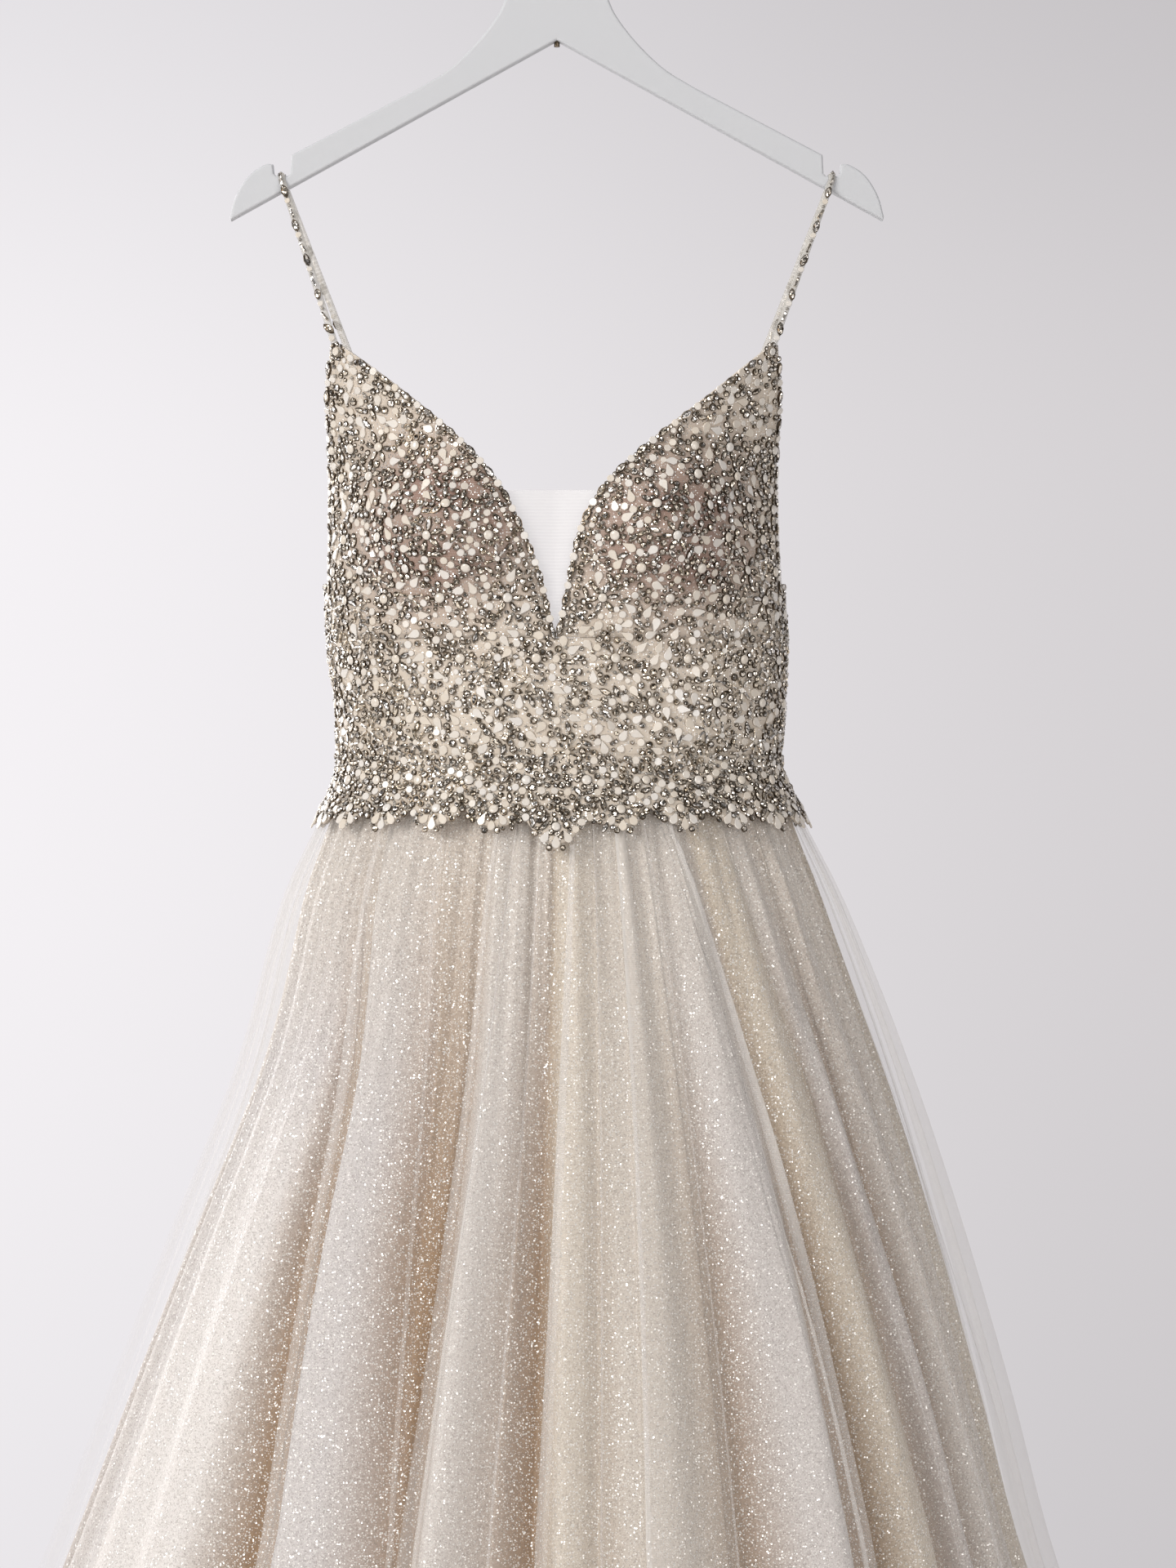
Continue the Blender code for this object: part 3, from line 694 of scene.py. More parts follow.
folds = (
    # ridge at the waist and low down, rise, left and right flank, lean to a side, tone
    # (the tone is -1 for warm, 1 for a painted lilac highlight and 2 for a pale painted highlight on the lit
    # left ridges)
    (-176, -174, 0.9, 9, 8, -2, 0.3),
    (-160, -157, 1.0, 8, 10, 2, -0.6),
    (-143, -140, 0.8, 7, 9, -2, 0.8),
    (-126, -122, 1.0, 10, 8, 3, 0.2),
    (-108, -105, 0.8, 9, 8, -3, -0.7),
    (-92, -90, 1.0, 8, 9, 2, 0.4),
    (-84, -80, 0.9, 9, 14, -2, 1.8),
    (-72, -65, 0.95, 14, 14, 0, 2.0),
    (-62, -51.5, 1.0, 14, 11, -2, 2.0),
    (-46, -31.8, 1.0, 3.6, 14.5, -2, 1.0),
    (-10.5, -13.6, 0.85, 4.5, 11, -2, 0.5),
    (4, 1.6, 0.9, 4.5, 9, -1, -0.8),
    (12, 12, 1.0, 10, 15.5, 0, -0.2),
    (25, 34.5, 1.0, 12.5, 7, 2, 0.8),
    (34, 50, 0.9, 7.5, 9, 1, -0.9),
    (42, 62, 0.75, 5.5, 6, 0, 0.8),
    (56, 71, 0.9, 6, 10, 1, 0.3),
    (78, 77, 0.8, 8, 8, 2, 0.2),
    (92, 91, 1.0, 7, 9, -2, -0.5),
    (108, 107, 0.9, 8, 8, 3, 0.6),
    (124, 122, 1.0, 9, 9, -2, 0.1),
    (140, 138, 0.8, 8, 7, 2, -0.8),
    (154, 153, 1.0, 9, 9, -3, 0.5),
    (169, 170, 0.9, 8, 9, 2, 0.0),
)
creases = (
    # crisp folds of the net: place at the waist and low down, strength, width,
    # the side its veil lies on, and how thick and wide that is
    (-78, -75, 2.0, 4, 1, 0.08, 0.030), (-53, -38, 1.2, 2, -1, 0.03, 0.012),
    (-49.5, -34, 4.0, 3, 1, 0.20, 0.010), (-29.6, -19, 3.0, 3, 1, 0.14, 0.012),
    (-13, -17.2, 4.0, 3, 1, 0.13, 0.018), (-8, -14.8, 2.4, 2, 1, 0.12, 0.022),
    (-2.7, -7.2, 2.0, 4, 1, 0.07, 0.020), (4.9, -1.5, 4.0, 3, 1, 0.15, 0.026),
    (9, 5.5, 2.0, 3, 1, 0.08, 0.016), (14, 10.5, 2.2, 5, 1, 0.20, 0.026),
    (20, 21.3, 2.0, 2, -1, 0.06, 0.010), (22, 36.2, 2.4, 2, -1, 0.10, 0.007),
    (24, 39.6, 4.0, 3, -1, 0.24, 0.007), (40, 55, 2.0, 3, 1, 0.09, 0.012),
    (53, 64, 3.0, 3, 1, 0.14, 0.012), (64, 72, 2.4, 3, 1, 0.10, 0.020),
    (81, 80, 2.0, 4, -1, 0.08, 0.020), (99, 99, 3.0, 4, 1, 0.18, 0.014),
    (115, 114, 3.6, 4, -1, 0.20, 0.012), (132, 130, 2.6, 3, 1, 0.14, 0.018),
    (147, 145, 3.8, 4, -1, 0.24, 0.010), (162, 161, 3.0, 3, 1, 0.15, 0.016),
    (179, 179, 3.6, 4, 1, 0.18, 0.016), (-167, -165, 3.0, 4, -1, 0.15, 0.012),
    (-151, -148, 3.8, 4, 1, 0.24, 0.012), (-134, -131, 2.6, 3, -1, 0.12, 0.014),
    (-117, -113, 3.4, 4, 1, 0.18, 0.012), (-100, -97, 3.0, 3, -1, 0.12, 0.014),
)
skirt = {
    "foldDepth": 0.055,
    "leanDepth": 0.9,  # how much of a fold's lean shows at the hem
    "driftEnd": 0.45,
    "gathers": 52,
    "gatherDepth": ((0.0, 0.0022), (0.06, 0.0036), (0.20, 0.0026), (0.40, 0.0013), (0.80, 0.0005)),
    "softWaves": 0.0016,
    "creaseWidth": 0.001,  # one unit of a crease's width, at full size
    "columns": 230,
    "creaseColumns": 8,
    "veil": 0.19,
    "rows": 44,
    "settles": 0.15,
    # painted shade in the valleys; the outer net also thins there so that it shows
    "waistShade": (2.7, 0.25),  # how fast the valleys darken below the waist, and how dark they start
    "deepVeil": 0.62,  # how much thinner the net looks in a valley
    "thinFrom": 0.86,  # where the far left begins, how wide it is, and how much thinner both nets look there
    "thinOver": 0.12,
    "thinVeil": 0.72,
    "thinGlitter": 0.3,
    "flankShade": 0.4,
    "middleShade": 0.6,
    "rightShade": 0.35,
}
layers = (
    # name, finish, slot, inset at the waist and low down, extra at left and right,
    # share of the folds, how far it cuts in, how far its hem is lifted, share of the creases
    ("skirt_tulle", "sheerTulle", "sheer_tulle",
     0.0002, 0.0, 0.0, 0.0, 0.80, 0.0, 0.0, 1.0),
    ("skirt_glitter", "glitterTulle", "glitter_tulle",
     0.0016, 0.018, -0.002, 0.003, 1.0, 0.0, 0.004, 0.35),
    ("skirt_lining", "champagneLining", "champagne_lining",
     0.0030, 0.030, 0.006, 0.006, 0.30, 0.90, 0.010, 0.0),
)


def foldDrift(t):
    return np.minimum(1, t / skirt["driftEnd"]) ** 0.7


def foldShape(degrees, t):
    # Height from 0 in a valley to 1 on a ridge, sideways lean in degrees, and tone
    drift = foldDrift(t)
    total = np.zeros(np.broadcast(degrees, t).shape)
    lean = np.zeros_like(total)
    tone = np.zeros_like(total)
    weight = np.full_like(total, 1e-3)
    for high, low, rise, left, right, leaning, tint in folds:
        away = wrapDegrees(degrees - high - (low - high) * drift)
        reach = np.where(away > 0, right, left) * 1.12
        bump = rise * (0.5 + 0.5 * np.cos(np.pi * np.clip(away / reach, -1, 1)))
        total += bump**3
        lean += leaning * bump**2
        tone += tint * bump**2
        weight += bump**2
    return np.minimum(1.0, total ** (1 / 3)), lean, tone / weight


def driftTable():
    # Where each ridge and crease starts at the waist, by its place low down
    pairs = sorted([(f[1], f[0]) for f in folds] + [(c[1], c[0]) for c in creases])
    lows = np.array([p[0] for p in pairs], float)
    highs = np.maximum.accumulate(np.array([p[1] for p in pairs], float) + np.arange(len(pairs)) * 1e-3)
    wrap = lambda row: np.concatenate((row[-3:] - 360, row, row[:3] + 360))
    return wrap(lows), wrap(highs)


def waistPlace(low):
    lows, highs = driftTable()
    return np.interp(wrapDegrees(low), lows, highs)


def gatherWave(degrees, t):
    # Small uneven gathers, strongest below the waist
    turn = np.radians(degrees)
    uneven = 1.2 * np.sin(7 * turn + 1.0) + 0.9 * np.sin(11 * turn + 2.3) + 0.6 * np.sin(19 * turn + 0.4)
    depth = np.interp(t, [row[0] for row in skirt["gatherDepth"]], [row[1] for row in skirt["gatherDepth"]])
    coarse = 0.5 - 0.5 * np.cos(skirt["gathers"] * turn + uneven)
    fine = 0.5 - 0.5 * np.cos(127 * turn + 2 * uneven)
    soft = 0.5 - 0.5 * np.cos(31 * turn + 1.6 * uneven + 2.5 * t)
    low = skirt["softWaves"] * np.clip(t * 3 - 0.3, 0, 1)
    return depth * (0.8 * coarse + 0.35 * fine * np.clip(1 - 2.5 * t, 0, 1)) + low * soft


def layerColumns(centre, share):
    # Columns by their place low down: even there, even at the waist, and dense at each crease
    lows, highs = driftTable()
    evenLow = np.linspace(centre - 90, centre + 90, skirt["columns"] + 1)
    evenHigh = np.interp(np.linspace(-180, 180, 2 * skirt["columns"] + 1), highs, lows)
    extra = [evenHigh, evenHigh + 360]
    if share > 0:
        for crease in creases:
            reach = np.linspace(-1.9, 1.9, skirt["creaseColumns"] * 2 + 1) * (0.35 + 0.16 * crease[3])
            extra += [crease[1] + reach, crease[1] + reach + 360]
    columns = np.unique(np.round(np.concatenate([evenLow] + extra), 2))
    return columns[(columns >= centre - 90) & (columns <= centre + 90)]


def outlinePoint(degrees, t, inward):
    z = shape["waistZ"] + (shape["hemZ"] - shape["waistZ"]) * t
    across, forward, wide, deep = outlineSizes(skirtTable, degrees, z)
    outX, outY = across / wide, -forward / deep
    size = np.hypot(outX, outY)
    x = wide * across - inward * outX / size
    y = -deep * forward - inward * outY / size
    return np.stack((x, y, z + 0 * wide), -1)


def layerPoints(layer, centre):
    _, _, _, insetWaist, insetLow, insetLeft, insetRight, foldShare, cutIn, lift, creaseShare = layer
    low = layerColumns(centre, creaseShare)[None, :]
    t = (np.linspace(0, 1, skirt["rows"] + 1) ** 1.25)[:, None]
    hung = t * (1 - lift / (shape["waistZ"] - shape["hemZ"])) + 0.0003 * (1 - t)
    degrees = wrapDegrees(low) + (waistPlace(low) - wrapDegrees(low)) * (1 - foldDrift(hung))
    z = shape["waistZ"] + (shape["hemZ"] - shape["waistZ"]) * hung
    radius = 0.5 * (readTable(skirtTable, z, 1) + readTable(skirtTable, z, 3)) * np.pi / 180
    offset = np.zeros_like(degrees)
    shift = np.zeros_like(degrees)
    veil = np.full_like(degrees, skirt["veil"])
    for high, place, strength, width, side, thick, reach in creases if creaseShare > 0 else ():
        spot = place + (high - place) * (1 - foldDrift(hung))
        grow = 0.35 + 0.65 * np.clip(hung * 2.2, 0, 1)
        wide = skirt["creaseWidth"] * width * grow * (0.6 + 0.4 * creaseShare)
        away = wrapDegrees(degrees - spot) * radius
        x = away / wide
        shift += -strength * creaseShare * wide * x * np.exp(-(x**2)) / radius
        offset += -side * 0.45 * wide * np.tanh(2 * x) * np.exp(-((x / 2.5) ** 2))
        past = side * away
        uneven = 0.65 + 0.35 * np.sin(11 * hung + high)
        fading = thick * uneven * np.exp(-np.clip(past, 0, 1) / (reach * grow))
        veil += fading * np.clip(past / 0.001 + 1, 0, 1)
    height, lean, tone = foldShape(degrees, hung)
    grown = hung**0.8
    degrees = degrees + shift + lean * skirt["leanDepth"] * np.clip(hung * 3, 0, 1) * foldShare
    valley = skirt["foldDepth"] * grown * (cutIn + foldShare * (1 - height))
    settle = np.minimum(1.0, hung / skirt["settles"])
    inset = insetWaist + (insetLow - insetWaist) * settle * (2 - settle)
    across = np.sin(np.radians(wrapDegrees(degrees)))
    inset = inset + np.where(across < 0, insetLeft, insetRight) * across**2 * np.clip(hung * 4 - 0.5, 0, 1)
    inward = inset + valley + gatherWave(degrees, hung) * (1 if creaseShare > 0 else 0.4) + offset
    # The painted ridge highlights fade out towards the waist
    tone = np.where(tone > 1, 1 + (tone - 1) * np.clip(4 * hung - 0.4, 0, 1), tone)
    tone = np.where(tone > 0, tone * np.clip(5 * hung - 0.1, 0.1, 1), tone)
    # Where only air lies behind them, at the far left, both nets look thinner
    thin = np.clip((-across - skirt["thinFrom"]) / skirt["thinOver"], 0, 1) * np.clip(4 * hung - 0.4, 0, 1)
    sheer = veil * (1 - skirt["deepVeil"] * (1 - height)) * (1 - skirt["thinVeil"] * thin)
    alpha = sheer if foldShare < 1 else skirtFinish["glitterAlpha"] - skirt["thinGlitter"] * thin
    # Painted shade in the fold valleys, kept lighter on both flanks of the front than in the middle
    place = wrapDegrees(degrees)
    middle = skirt["middleShade"] * np.clip((place + 60) / 8, 0, 1)
    right = skirt["rightShade"] * np.clip((place - 64) / 6, 0, 1)
    shade = (1 - height) * (skirt["flankShade"] + middle - right)
    return outlinePoint(degrees, hung, inward), {"valley": shade, "tone": tone, "veil": np.clip(alpha, 0, 1)}


def makeSkirt():
    made = {}
    for layer in layers:
        name, finish, slot = layer[:3]
        for word, centre in (("front", 0.0), ("back", 180.0)):
            points, values = layerPoints(layer, centre)
            # The painted valley shade is weaker just below the waist
            rate, start = skirt["waistShade"]
            values["valley"] *= np.clip(np.linspace(0, 1, len(points)) * rate, start, 1)[:, None]
            piece = gridObject(name + "_" + word + "_cloth", points, clothUv(points), values)
            if name == "skirt_lining":
                applyModifier(piece, "SOLIDIFY", thickness=0.0006, offset=-1.0)
            dressPiece(piece, finish, slot, name + "_" + word)
            made[name + "_" + word] = piece
            print("skirt", name, word, len(piece.data.polygons))
    return made


skirtPieces = makeSkirt()


# Bodice panels: a shell of beaded net for each, and single nets for the insets

nudeAndShadePatch = {"angle": 32, "spread": 27, "z": -0.452, "height": 0.052, "strength": 1.5}
panelGrid = {"rows": 30, "columns": 30, "wall": 0.0018, "seam": 0.0002}


def panelPoints(leftEdge, rightEdge, top, bottom, lift=0.0, rows=None, columns=None):
    # Edges are functions of height; top and bottom are heights or functions of the angle
    s = np.linspace(0, 1, (rows or panelGrid["rows"]) + 1)[:, None]
    r = np.linspace(0, 1, (columns or panelGrid["columns"]) + 1)[None, :]
    if callable(top):
        degrees = (leftEdge + (rightEdge - leftEdge) * r) + 0 * s
        z = top(degrees) + (bottom - top(degrees)) * s
    else:
        z = (top + (bottom - top) * s) + 0 * r
        left = leftEdge(z) if callable(leftEdge) else leftEdge
        right = rightEdge(z) if callable(rightEdge) else rightEdge
        degrees = left + (right - left) * r
    return bodiceAt(degrees, z, lift), degrees, z


def nudeAndShadeTone(degrees, z):
    # Rose-brown cups, partly the nude lining under the net and partly painted shade; ivory at the tips and
    # below
    sideways = (np.abs(wrapDegrees(degrees)) - nudeAndShadePatch["angle"]) / nudeAndShadePatch["spread"]
    along = (z - nudeAndShadePatch["z"]) / nudeAndShadePatch["height"]
    return np.clip(nudeAndShadePatch["strength"] * np.exp(-(sideways**2) - along**2), 0, 1)


def ordered(side, near, far):
    return (near, far) if side > 0 else (far, near)


def panelShell(name, edges, top, bottom):
    points, degrees, z = panelPoints(*edges, top, bottom)
    piece = gridObject(name + "_cloth", points, clothUv(points), {"nudeAndShade": nudeAndShadeTone(degrees, z)})
    applyModifier(piece, "SOLIDIFY", thickness=panelGrid["wall"], offset=-1.0)
    return dressPiece(piece, "beadedNet", "beaded_bodice", name)


def insetSheet(name, edges, top, bottom, lift):
    points, _, _ = panelPoints(*edges, top, bottom, lift, 16, 20)
    piece = gridObject(name + "_cloth", points, clothUv(points))
    return dressPiece(piece, "insetNet", "fine_net", name)


def makeBodice():
    gap = 0.06
    made = {}
    for side, word in ((-1, "left"), (1, "right")):
        inner = lambda z, side=side: necklineAngle(side, z)
        outer = lambda z, side=side: side * (cupEdgeAngle(z) - gap)
        edges = ordered(side, inner, outer)
        made["cup_" + word] = panelShell("cup_" + word, edges, shape["cupTopZ"], shape["cupFootZ"])
        edges = ordered(side, side * (shape["sideSeam"] + gap), side * (shape["backSeam"] - gap))
        made["side_" + word] = panelShell("side_" + word, edges, shape["sideTopZ"] - 0.0003, shape["waistZ"])
        made["side_inset_" + word] = insetSheet("side_inset_" + word, edges, shape["underarmZ"],
                                                shape["sideTopZ"], -0.0005)
        edges = ordered(side, side * (shape["backSeam"] + gap), side * (180 - gap))
        made["back_" + word] = panelShell("back_" + word, edges, backTop, shape["waistZ"])
    edges = (-shape["sideSeam"] + gap, shape["sideSeam"] - gap)
    made["midriff"] = panelShell("midriff", edges, shape["cupFootZ"] - 0.0003, shape["waistZ"])
    hem = 0.004
    left = lambda z: bodiceAngle(readTable(necklineTable, z, 1) - hem, z)
    right = lambda z: bodiceAngle(readTable(necklineTable, z, 2) + hem, z)
    made["neck_inset"] = insetSheet("neck_inset", (left, right), -0.428, shape["cupFootZ"], -0.0031)
    return made


bodicePieces = makeBodice()
print("bodice panels ready:", len(bodicePieces))


# The beaded edge over the gathers

waistEdge = {
    "topZ": -0.602,
    "lowZ": -0.640,
    "scallops": 24,
    "scallopDrop": 0.012,
    "centreDrop": 0.012,
    "centreSpread": 9.0,
    "wall": 0.0014,
    "clear": 0.0005,
}


def edgeLow(degrees):
    edge = waistEdge
    lobe = np.abs(np.cos(np.radians(degrees * edge["scallops"] / 2))) ** 0.8
    centre = np.exp(-((wrapDegrees(degrees) / edge["centreSpread"]) ** 2))
    return edge["lowZ"] - edge["scallopDrop"] * lobe - edge["centreDrop"] * centre


def waistAt(degrees, z, lift):
    above = bodiceAt(degrees, np.maximum(z, shape["waistZ"]), lift)
    t = (z - shape["waistZ"]) / (shape["hemZ"] - shape["waistZ"])
    below = outlinePoint(degrees, np.maximum(t, 0), -lift)
    return np.where((z > shape["waistZ"])[..., None], above, below)


def makeWaistEdge():
    made = {}
    for word, centre in (("front", 0.0), ("back", 180.0)):
        degrees = np.linspace(centre - 89.9, centre + 89.9, 289)[None, :] + np.zeros((9, 1))
        s = np.linspace(0, 1, 9)[:, None]
        low = edgeLow(degrees) + 0.004  # the beads reach the outline, the net ends above it
        z = waistEdge["topZ"] + (low - waistEdge["topZ"]) * s
        points = waistAt(degrees, z, waistEdge["clear"] + waistEdge["wall"])
        piece = gridObject("waist_edge_" + word + "_cloth", points, clothUv(points), {"nudeAndShade": 0 * degrees})
        applyModifier(piece, "SOLIDIFY", thickness=waistEdge["wall"] * 0.7, offset=-1.0)
        made["waist_edge_" + word] = dressPiece(piece, "beadedNet", "beaded_bodice", "waist_edge_" + word)
    return made


bodicePieces.update(makeWaistEdge())
print("waist edge ready")


# Beads: each kind is modelled once at a size of 1, and its copies are joined into one mesh for each area

def readyToEdit():
    piece = bpy.context.object
    applyPlace(piece)
    bpy.ops.object.mode_set(mode="EDIT")
    bpy.ops.mesh.select_mode(type="FACE")
    bpy.ops.mesh.select_all(action="DESELECT")
    return piece


def startCylinder(sides, depth, middle, turn=0.0):
    # A cylinder 1 across, from which a bead is cut
    deselectAll()
    bpy.ops.mesh.primitive_cylinder_add(vertices=sides, radius=0.5, depth=depth, location=(0, 0, middle),
                                        rotation=(0, math.radians(turn), 0))
    return readyToEdit()


def raiseFace(rise, shrink):
    bpy.ops.mesh.extrude_region_move(TRANSFORM_OT_translate={"value": (0, 0, rise)})
    bpy.ops.transform.resize(value=(shrink, shrink, 1))


def selectFaces(piece, test):
    bpy.ops.object.mode_set(mode="OBJECT")
    for face in piece.data.polygons:
        face.select = bool(test(face))
    bpy.ops.object.mode_set(mode="EDIT")


def selectPoints(piece, test):
    bpy.ops.mesh.select_mode(type="VERT")
    bpy.ops.mesh.select_all(action="DESELECT")
    bpy.ops.object.mode_set(mode="OBJECT")
    for point in piece.data.vertices:
        point.select = bool(test(point.co))
    bpy.ops.object.mode_set(mode="EDIT")


def topFace(face):
    return face.normal.z > 0.9


def readPrototype(piece, shine):
    # shine says which faces take the setting (0) and which the stone (1), and which are smooth
    bpy.ops.object.mode_set(mode="OBJECT")
    mesh = piece.data
    points = np.array([v.co[:] for v in mesh.vertices])
    faces = [tuple(p.vertices) for p in mesh.polygons]
    marks = np.array([shine(p) for p in mesh.polygons], bool)
    bpy.data.objects.remove(piece)
    return {"points": points, "faces": faces, "stone": marks[:, 0], "smooth": marks[:, 1]}


def facetedStone(sides, pointed):
    # A cut stone in its metal cup: cup wall, rim, crown facets and table
    piece = startCylinder(sides, 0.30, 0.13)
    if pointed:
        selectPoints(piece, lambda p: abs(p.x) > 0.4)
        bpy.ops.transform.resize(value=(1.16, 0.35, 1))
        bpy.ops.mesh.select_mode(type="FACE")
    selectFaces(piece, topFace)
    bpy.ops.mesh.inset(thickness=0.085)
    raiseFace(0.14, 0.56)
    return readPrototype(piece, lambda f: (f.center.z > 0.285 and f.normal.z > 0.15, False))


def opalStone(sides, drop):
    # A low smooth stone; a drop has one end drawn out to a point
    piece = startCylinder(sides, 0.16, 0.08)
    selectFaces(piece, topFace)
    raiseFace(0.06, 0.88)
    if drop:
        for edge, push in ((0.28, 0.16), (0.40, 0.30)):
            selectPoints(piece, lambda p, edge=edge: p.x > edge * (1 - p.z * 0.8))
            bpy.ops.transform.translate(value=(push, 0, 0))
            bpy.ops.transform.resize(value=(1, 0.55, 1), center_override=(0, 0, 0))
    return readPrototype(piece, lambda f: (True, f.normal.z < 0.5))


def domeStone():
    # The large opal in the middle of a flower, in a thin metal ring
    piece = startCylinder(14, 0.18, 0.09)
    selectFaces(piece, topFace)
    bpy.ops.mesh.inset(thickness=0.035)
    for rise, shrink in ((0.10, 0.92), (0.08, 0.80), (0.045, 0.60)):
        raiseFace(rise, shrink)
    return readPrototype(piece, lambda f: (f.center.z > 0.19, f.center.z > 0.19))


def bugleBead():
    piece = startCylinder(6, 1.0, 0.5, 90)
    selectFaces(piece, lambda f: abs(f.normal.x) > 0.9)
    bpy.ops.mesh.inset(thickness=0.16)
    return readPrototype(piece, lambda f: (True, False))


def seedBead():
    deselectAll()
    bpy.ops.mesh.primitive_ico_sphere_add(subdivisions=1, radius=0.5, location=(0, 0, 0.4))
    piece = readyToEdit()
    bpy.ops.mesh.select_all(action="SELECT")
    bpy.ops.transform.resize(value=(1, 1, 0.8), center_override=(0, 0, 0))
    return readPrototype(piece, lambda f: (True, True))


prototypes = {
    # kind: its shape and the finish of its stone
    "chaton": (facetedStone(8, False), "clearCrystal"),
    "navette": (facetedStone(8, True), "clearCrystal"),
    "opal": (opalStone(10, False), "milkyOpal"),
    "drop": (opalStone(12, True), "milkyOpal"),
    "dome": (domeStone(), "milkyOpal"),
    "bugle": (bugleBead(), "clearCrystal"),
    "seed": (seedBead(), "glassSeed"),
}
beadFinishes = ("antiqueSilver", "clearCrystal", "milkyOpal", "glassSeed")
beadSizes = {
    # kind: its prototype, length, width and height
    "chatonLarge": ("chaton", 0.0050, 0.0050, 0.0048),
    "chaton": ("chaton", 0.0041, 0.0041, 0.0042),
    "chatonSmall": ("chaton", 0.0030, 0.0030, 0.0034),
    "navette": ("navette", 0.0074, 0.0038, 0.0040),
    "navetteLarge": ("navette", 0.0084, 0.0046, 0.0046),
    "opal": ("opal", 0.0052, 0.0052, 0.0052),
    "opalSmall": ("opal", 0.0040, 0.0040, 0.0046),
    "drop": ("drop", 0.0064, 0.0056, 0.0052),
    "dome": ("dome", 0.0068, 0.0068, 0.0056),
    "bugle": ("bugle", 0.0068, 0.0019, 0.0019),
    "seed": ("seed", 0.0021, 0.0021, 0.0021),
    "seedLarge": ("seed", 0.0028, 0.0028, 0.0026),
}
random = np.random.default_rng(11)
placed = []  # kind, area, point, sideways, up, out, spin
taken = {}
cellSize = 0.010
fullTurn = 6.28
noLimit = 1e9
neighbours = [(a, b, c) for a in (-1, 0, 1) for b in (-1, 0, 1) for c in (-1, 0, 1)]


def cellOf(point):
    return tuple(int(c // cellSize) for c in point)


def isFree(point, radius, crowd):
    # True where no other bead lies nearer than the two sizes allow
    x, y, z = point
    cx, cy, cz = cellOf(point)
    for cell in neighbours:
        for ox, oy, oz, size in taken.get((cx + cell[0], cy + cell[1], cz + cell[2]), ()):
            room = (radius + size) * crowd
            if (x - ox) ** 2 + (y - oy) ** 2 + (z - oz) ** 2 < room * room:
                return False
    return True


def beadRadius(kind):
    _, length, width, _ = beadSizes[kind]
    return 0.25 * (length + width) + (0.0007 if kind == "drop" else 0.0)


def setBead(kind, place, spin, crowd=0.0, area="bodice"):
    # place is point, sideways, up, out; with a crowd above 0 the bead is left out where others lie too near
    point = [float(c) for c in place[0]]
    radius = beadRadius(kind)
    if crowd > 0 and not isFree(point, radius, crowd):
        return
    taken.setdefault(cellOf(point), []).append((*point, radius))
    placed.append((kind, area, *place, spin))


def setMany(kind, places, spins, crowd, areas, limit):
    # Sets one bead after another where there is room, up to the limit
    radius = beadRadius(kind)
    count = 0
    for i, point in enumerate(places[0].tolist()):
        if isFree(point, radius, crowd):
            taken.setdefault(cellOf(point), []).append((*point, radius))
            placed.append((kind, areas[i], *(part[i] for part in places), spins[i]))
            count += 1
            if count >= limit:
                break
    return count


def bodicePlace(degrees, z, lift=0.0):
    point, sideways, up, out = bodiceFrame(degrees, z)
    return point + out * lift, sideways, up, out


def edgePlace(degrees, z, lift=0.0):
    degrees, z = np.asarray(degrees, float), np.asarray(z, float)
    wall = waistEdge["clear"] + waistEdge["wall"]
    point = waistAt(degrees, z, lift + wall)
    sideways = unit(waistAt(degrees + 0.5, z, wall) - waistAt(degrees - 0.5, z, wall))
    up = waistAt(degrees, z + 0.002, wall) - waistAt(degrees, z - 0.002, wall)
    out = unit(np.cross(sideways, up))
    return point, sideways, np.cross(out, sideways), out


def areaOf(degrees, z):
    away = abs((float(degrees) + 180) % 360 - 180)
    word = "right" if (float(degrees) + 180) % 360 - 180 > 0 else "left"
    if away > shape["sideSeam"]:
        return "back_beads_" + word
    return "midriff_beads" if z < shape["cupFootZ"] else "cup_beads_" + word


def insideBodice(degrees, z, margin):
    away = np.abs(wrapDegrees(degrees))
    side = np.where(wrapDegrees(degrees) > 0, 1, -1)
    edge = np.degrees(margin / 0.13)
    neck = np.where(side > 0, necklineAngle(1, z), -necklineAngle(-1, z))
    front = (away < cupEdgeAngle(z) - edge * 0.3) & ((z < shape["cupFootZ"]) | (away > neck + edge))
    flank = (away >= shape["sideSeam"]) & (away < shape["backSeam"]) & (z < shape["sideTopZ"] - margin)
    rear = (away >= shape["backSeam"]) & (z < backTop(degrees) - margin)
    return (z < shape["cupTopZ"] - margin) & (z > shape["waistZ"]) & (front | flank | rear)


# Where the large stones stand, as in the construction

def evenSteps(low, high, count):
    return [low + (high - low) * i / count for i in range(count + 1)]


panelLevels = (-0.610, -0.582, -0.552, -0.525, -0.490, -0.448, -0.407)
cupLevels = (-0.525, -0.508, -0.490, -0.469, -0.448, -0.428, -0.407, -0.390, -0.373, -0.357, -0.343, -0.330)


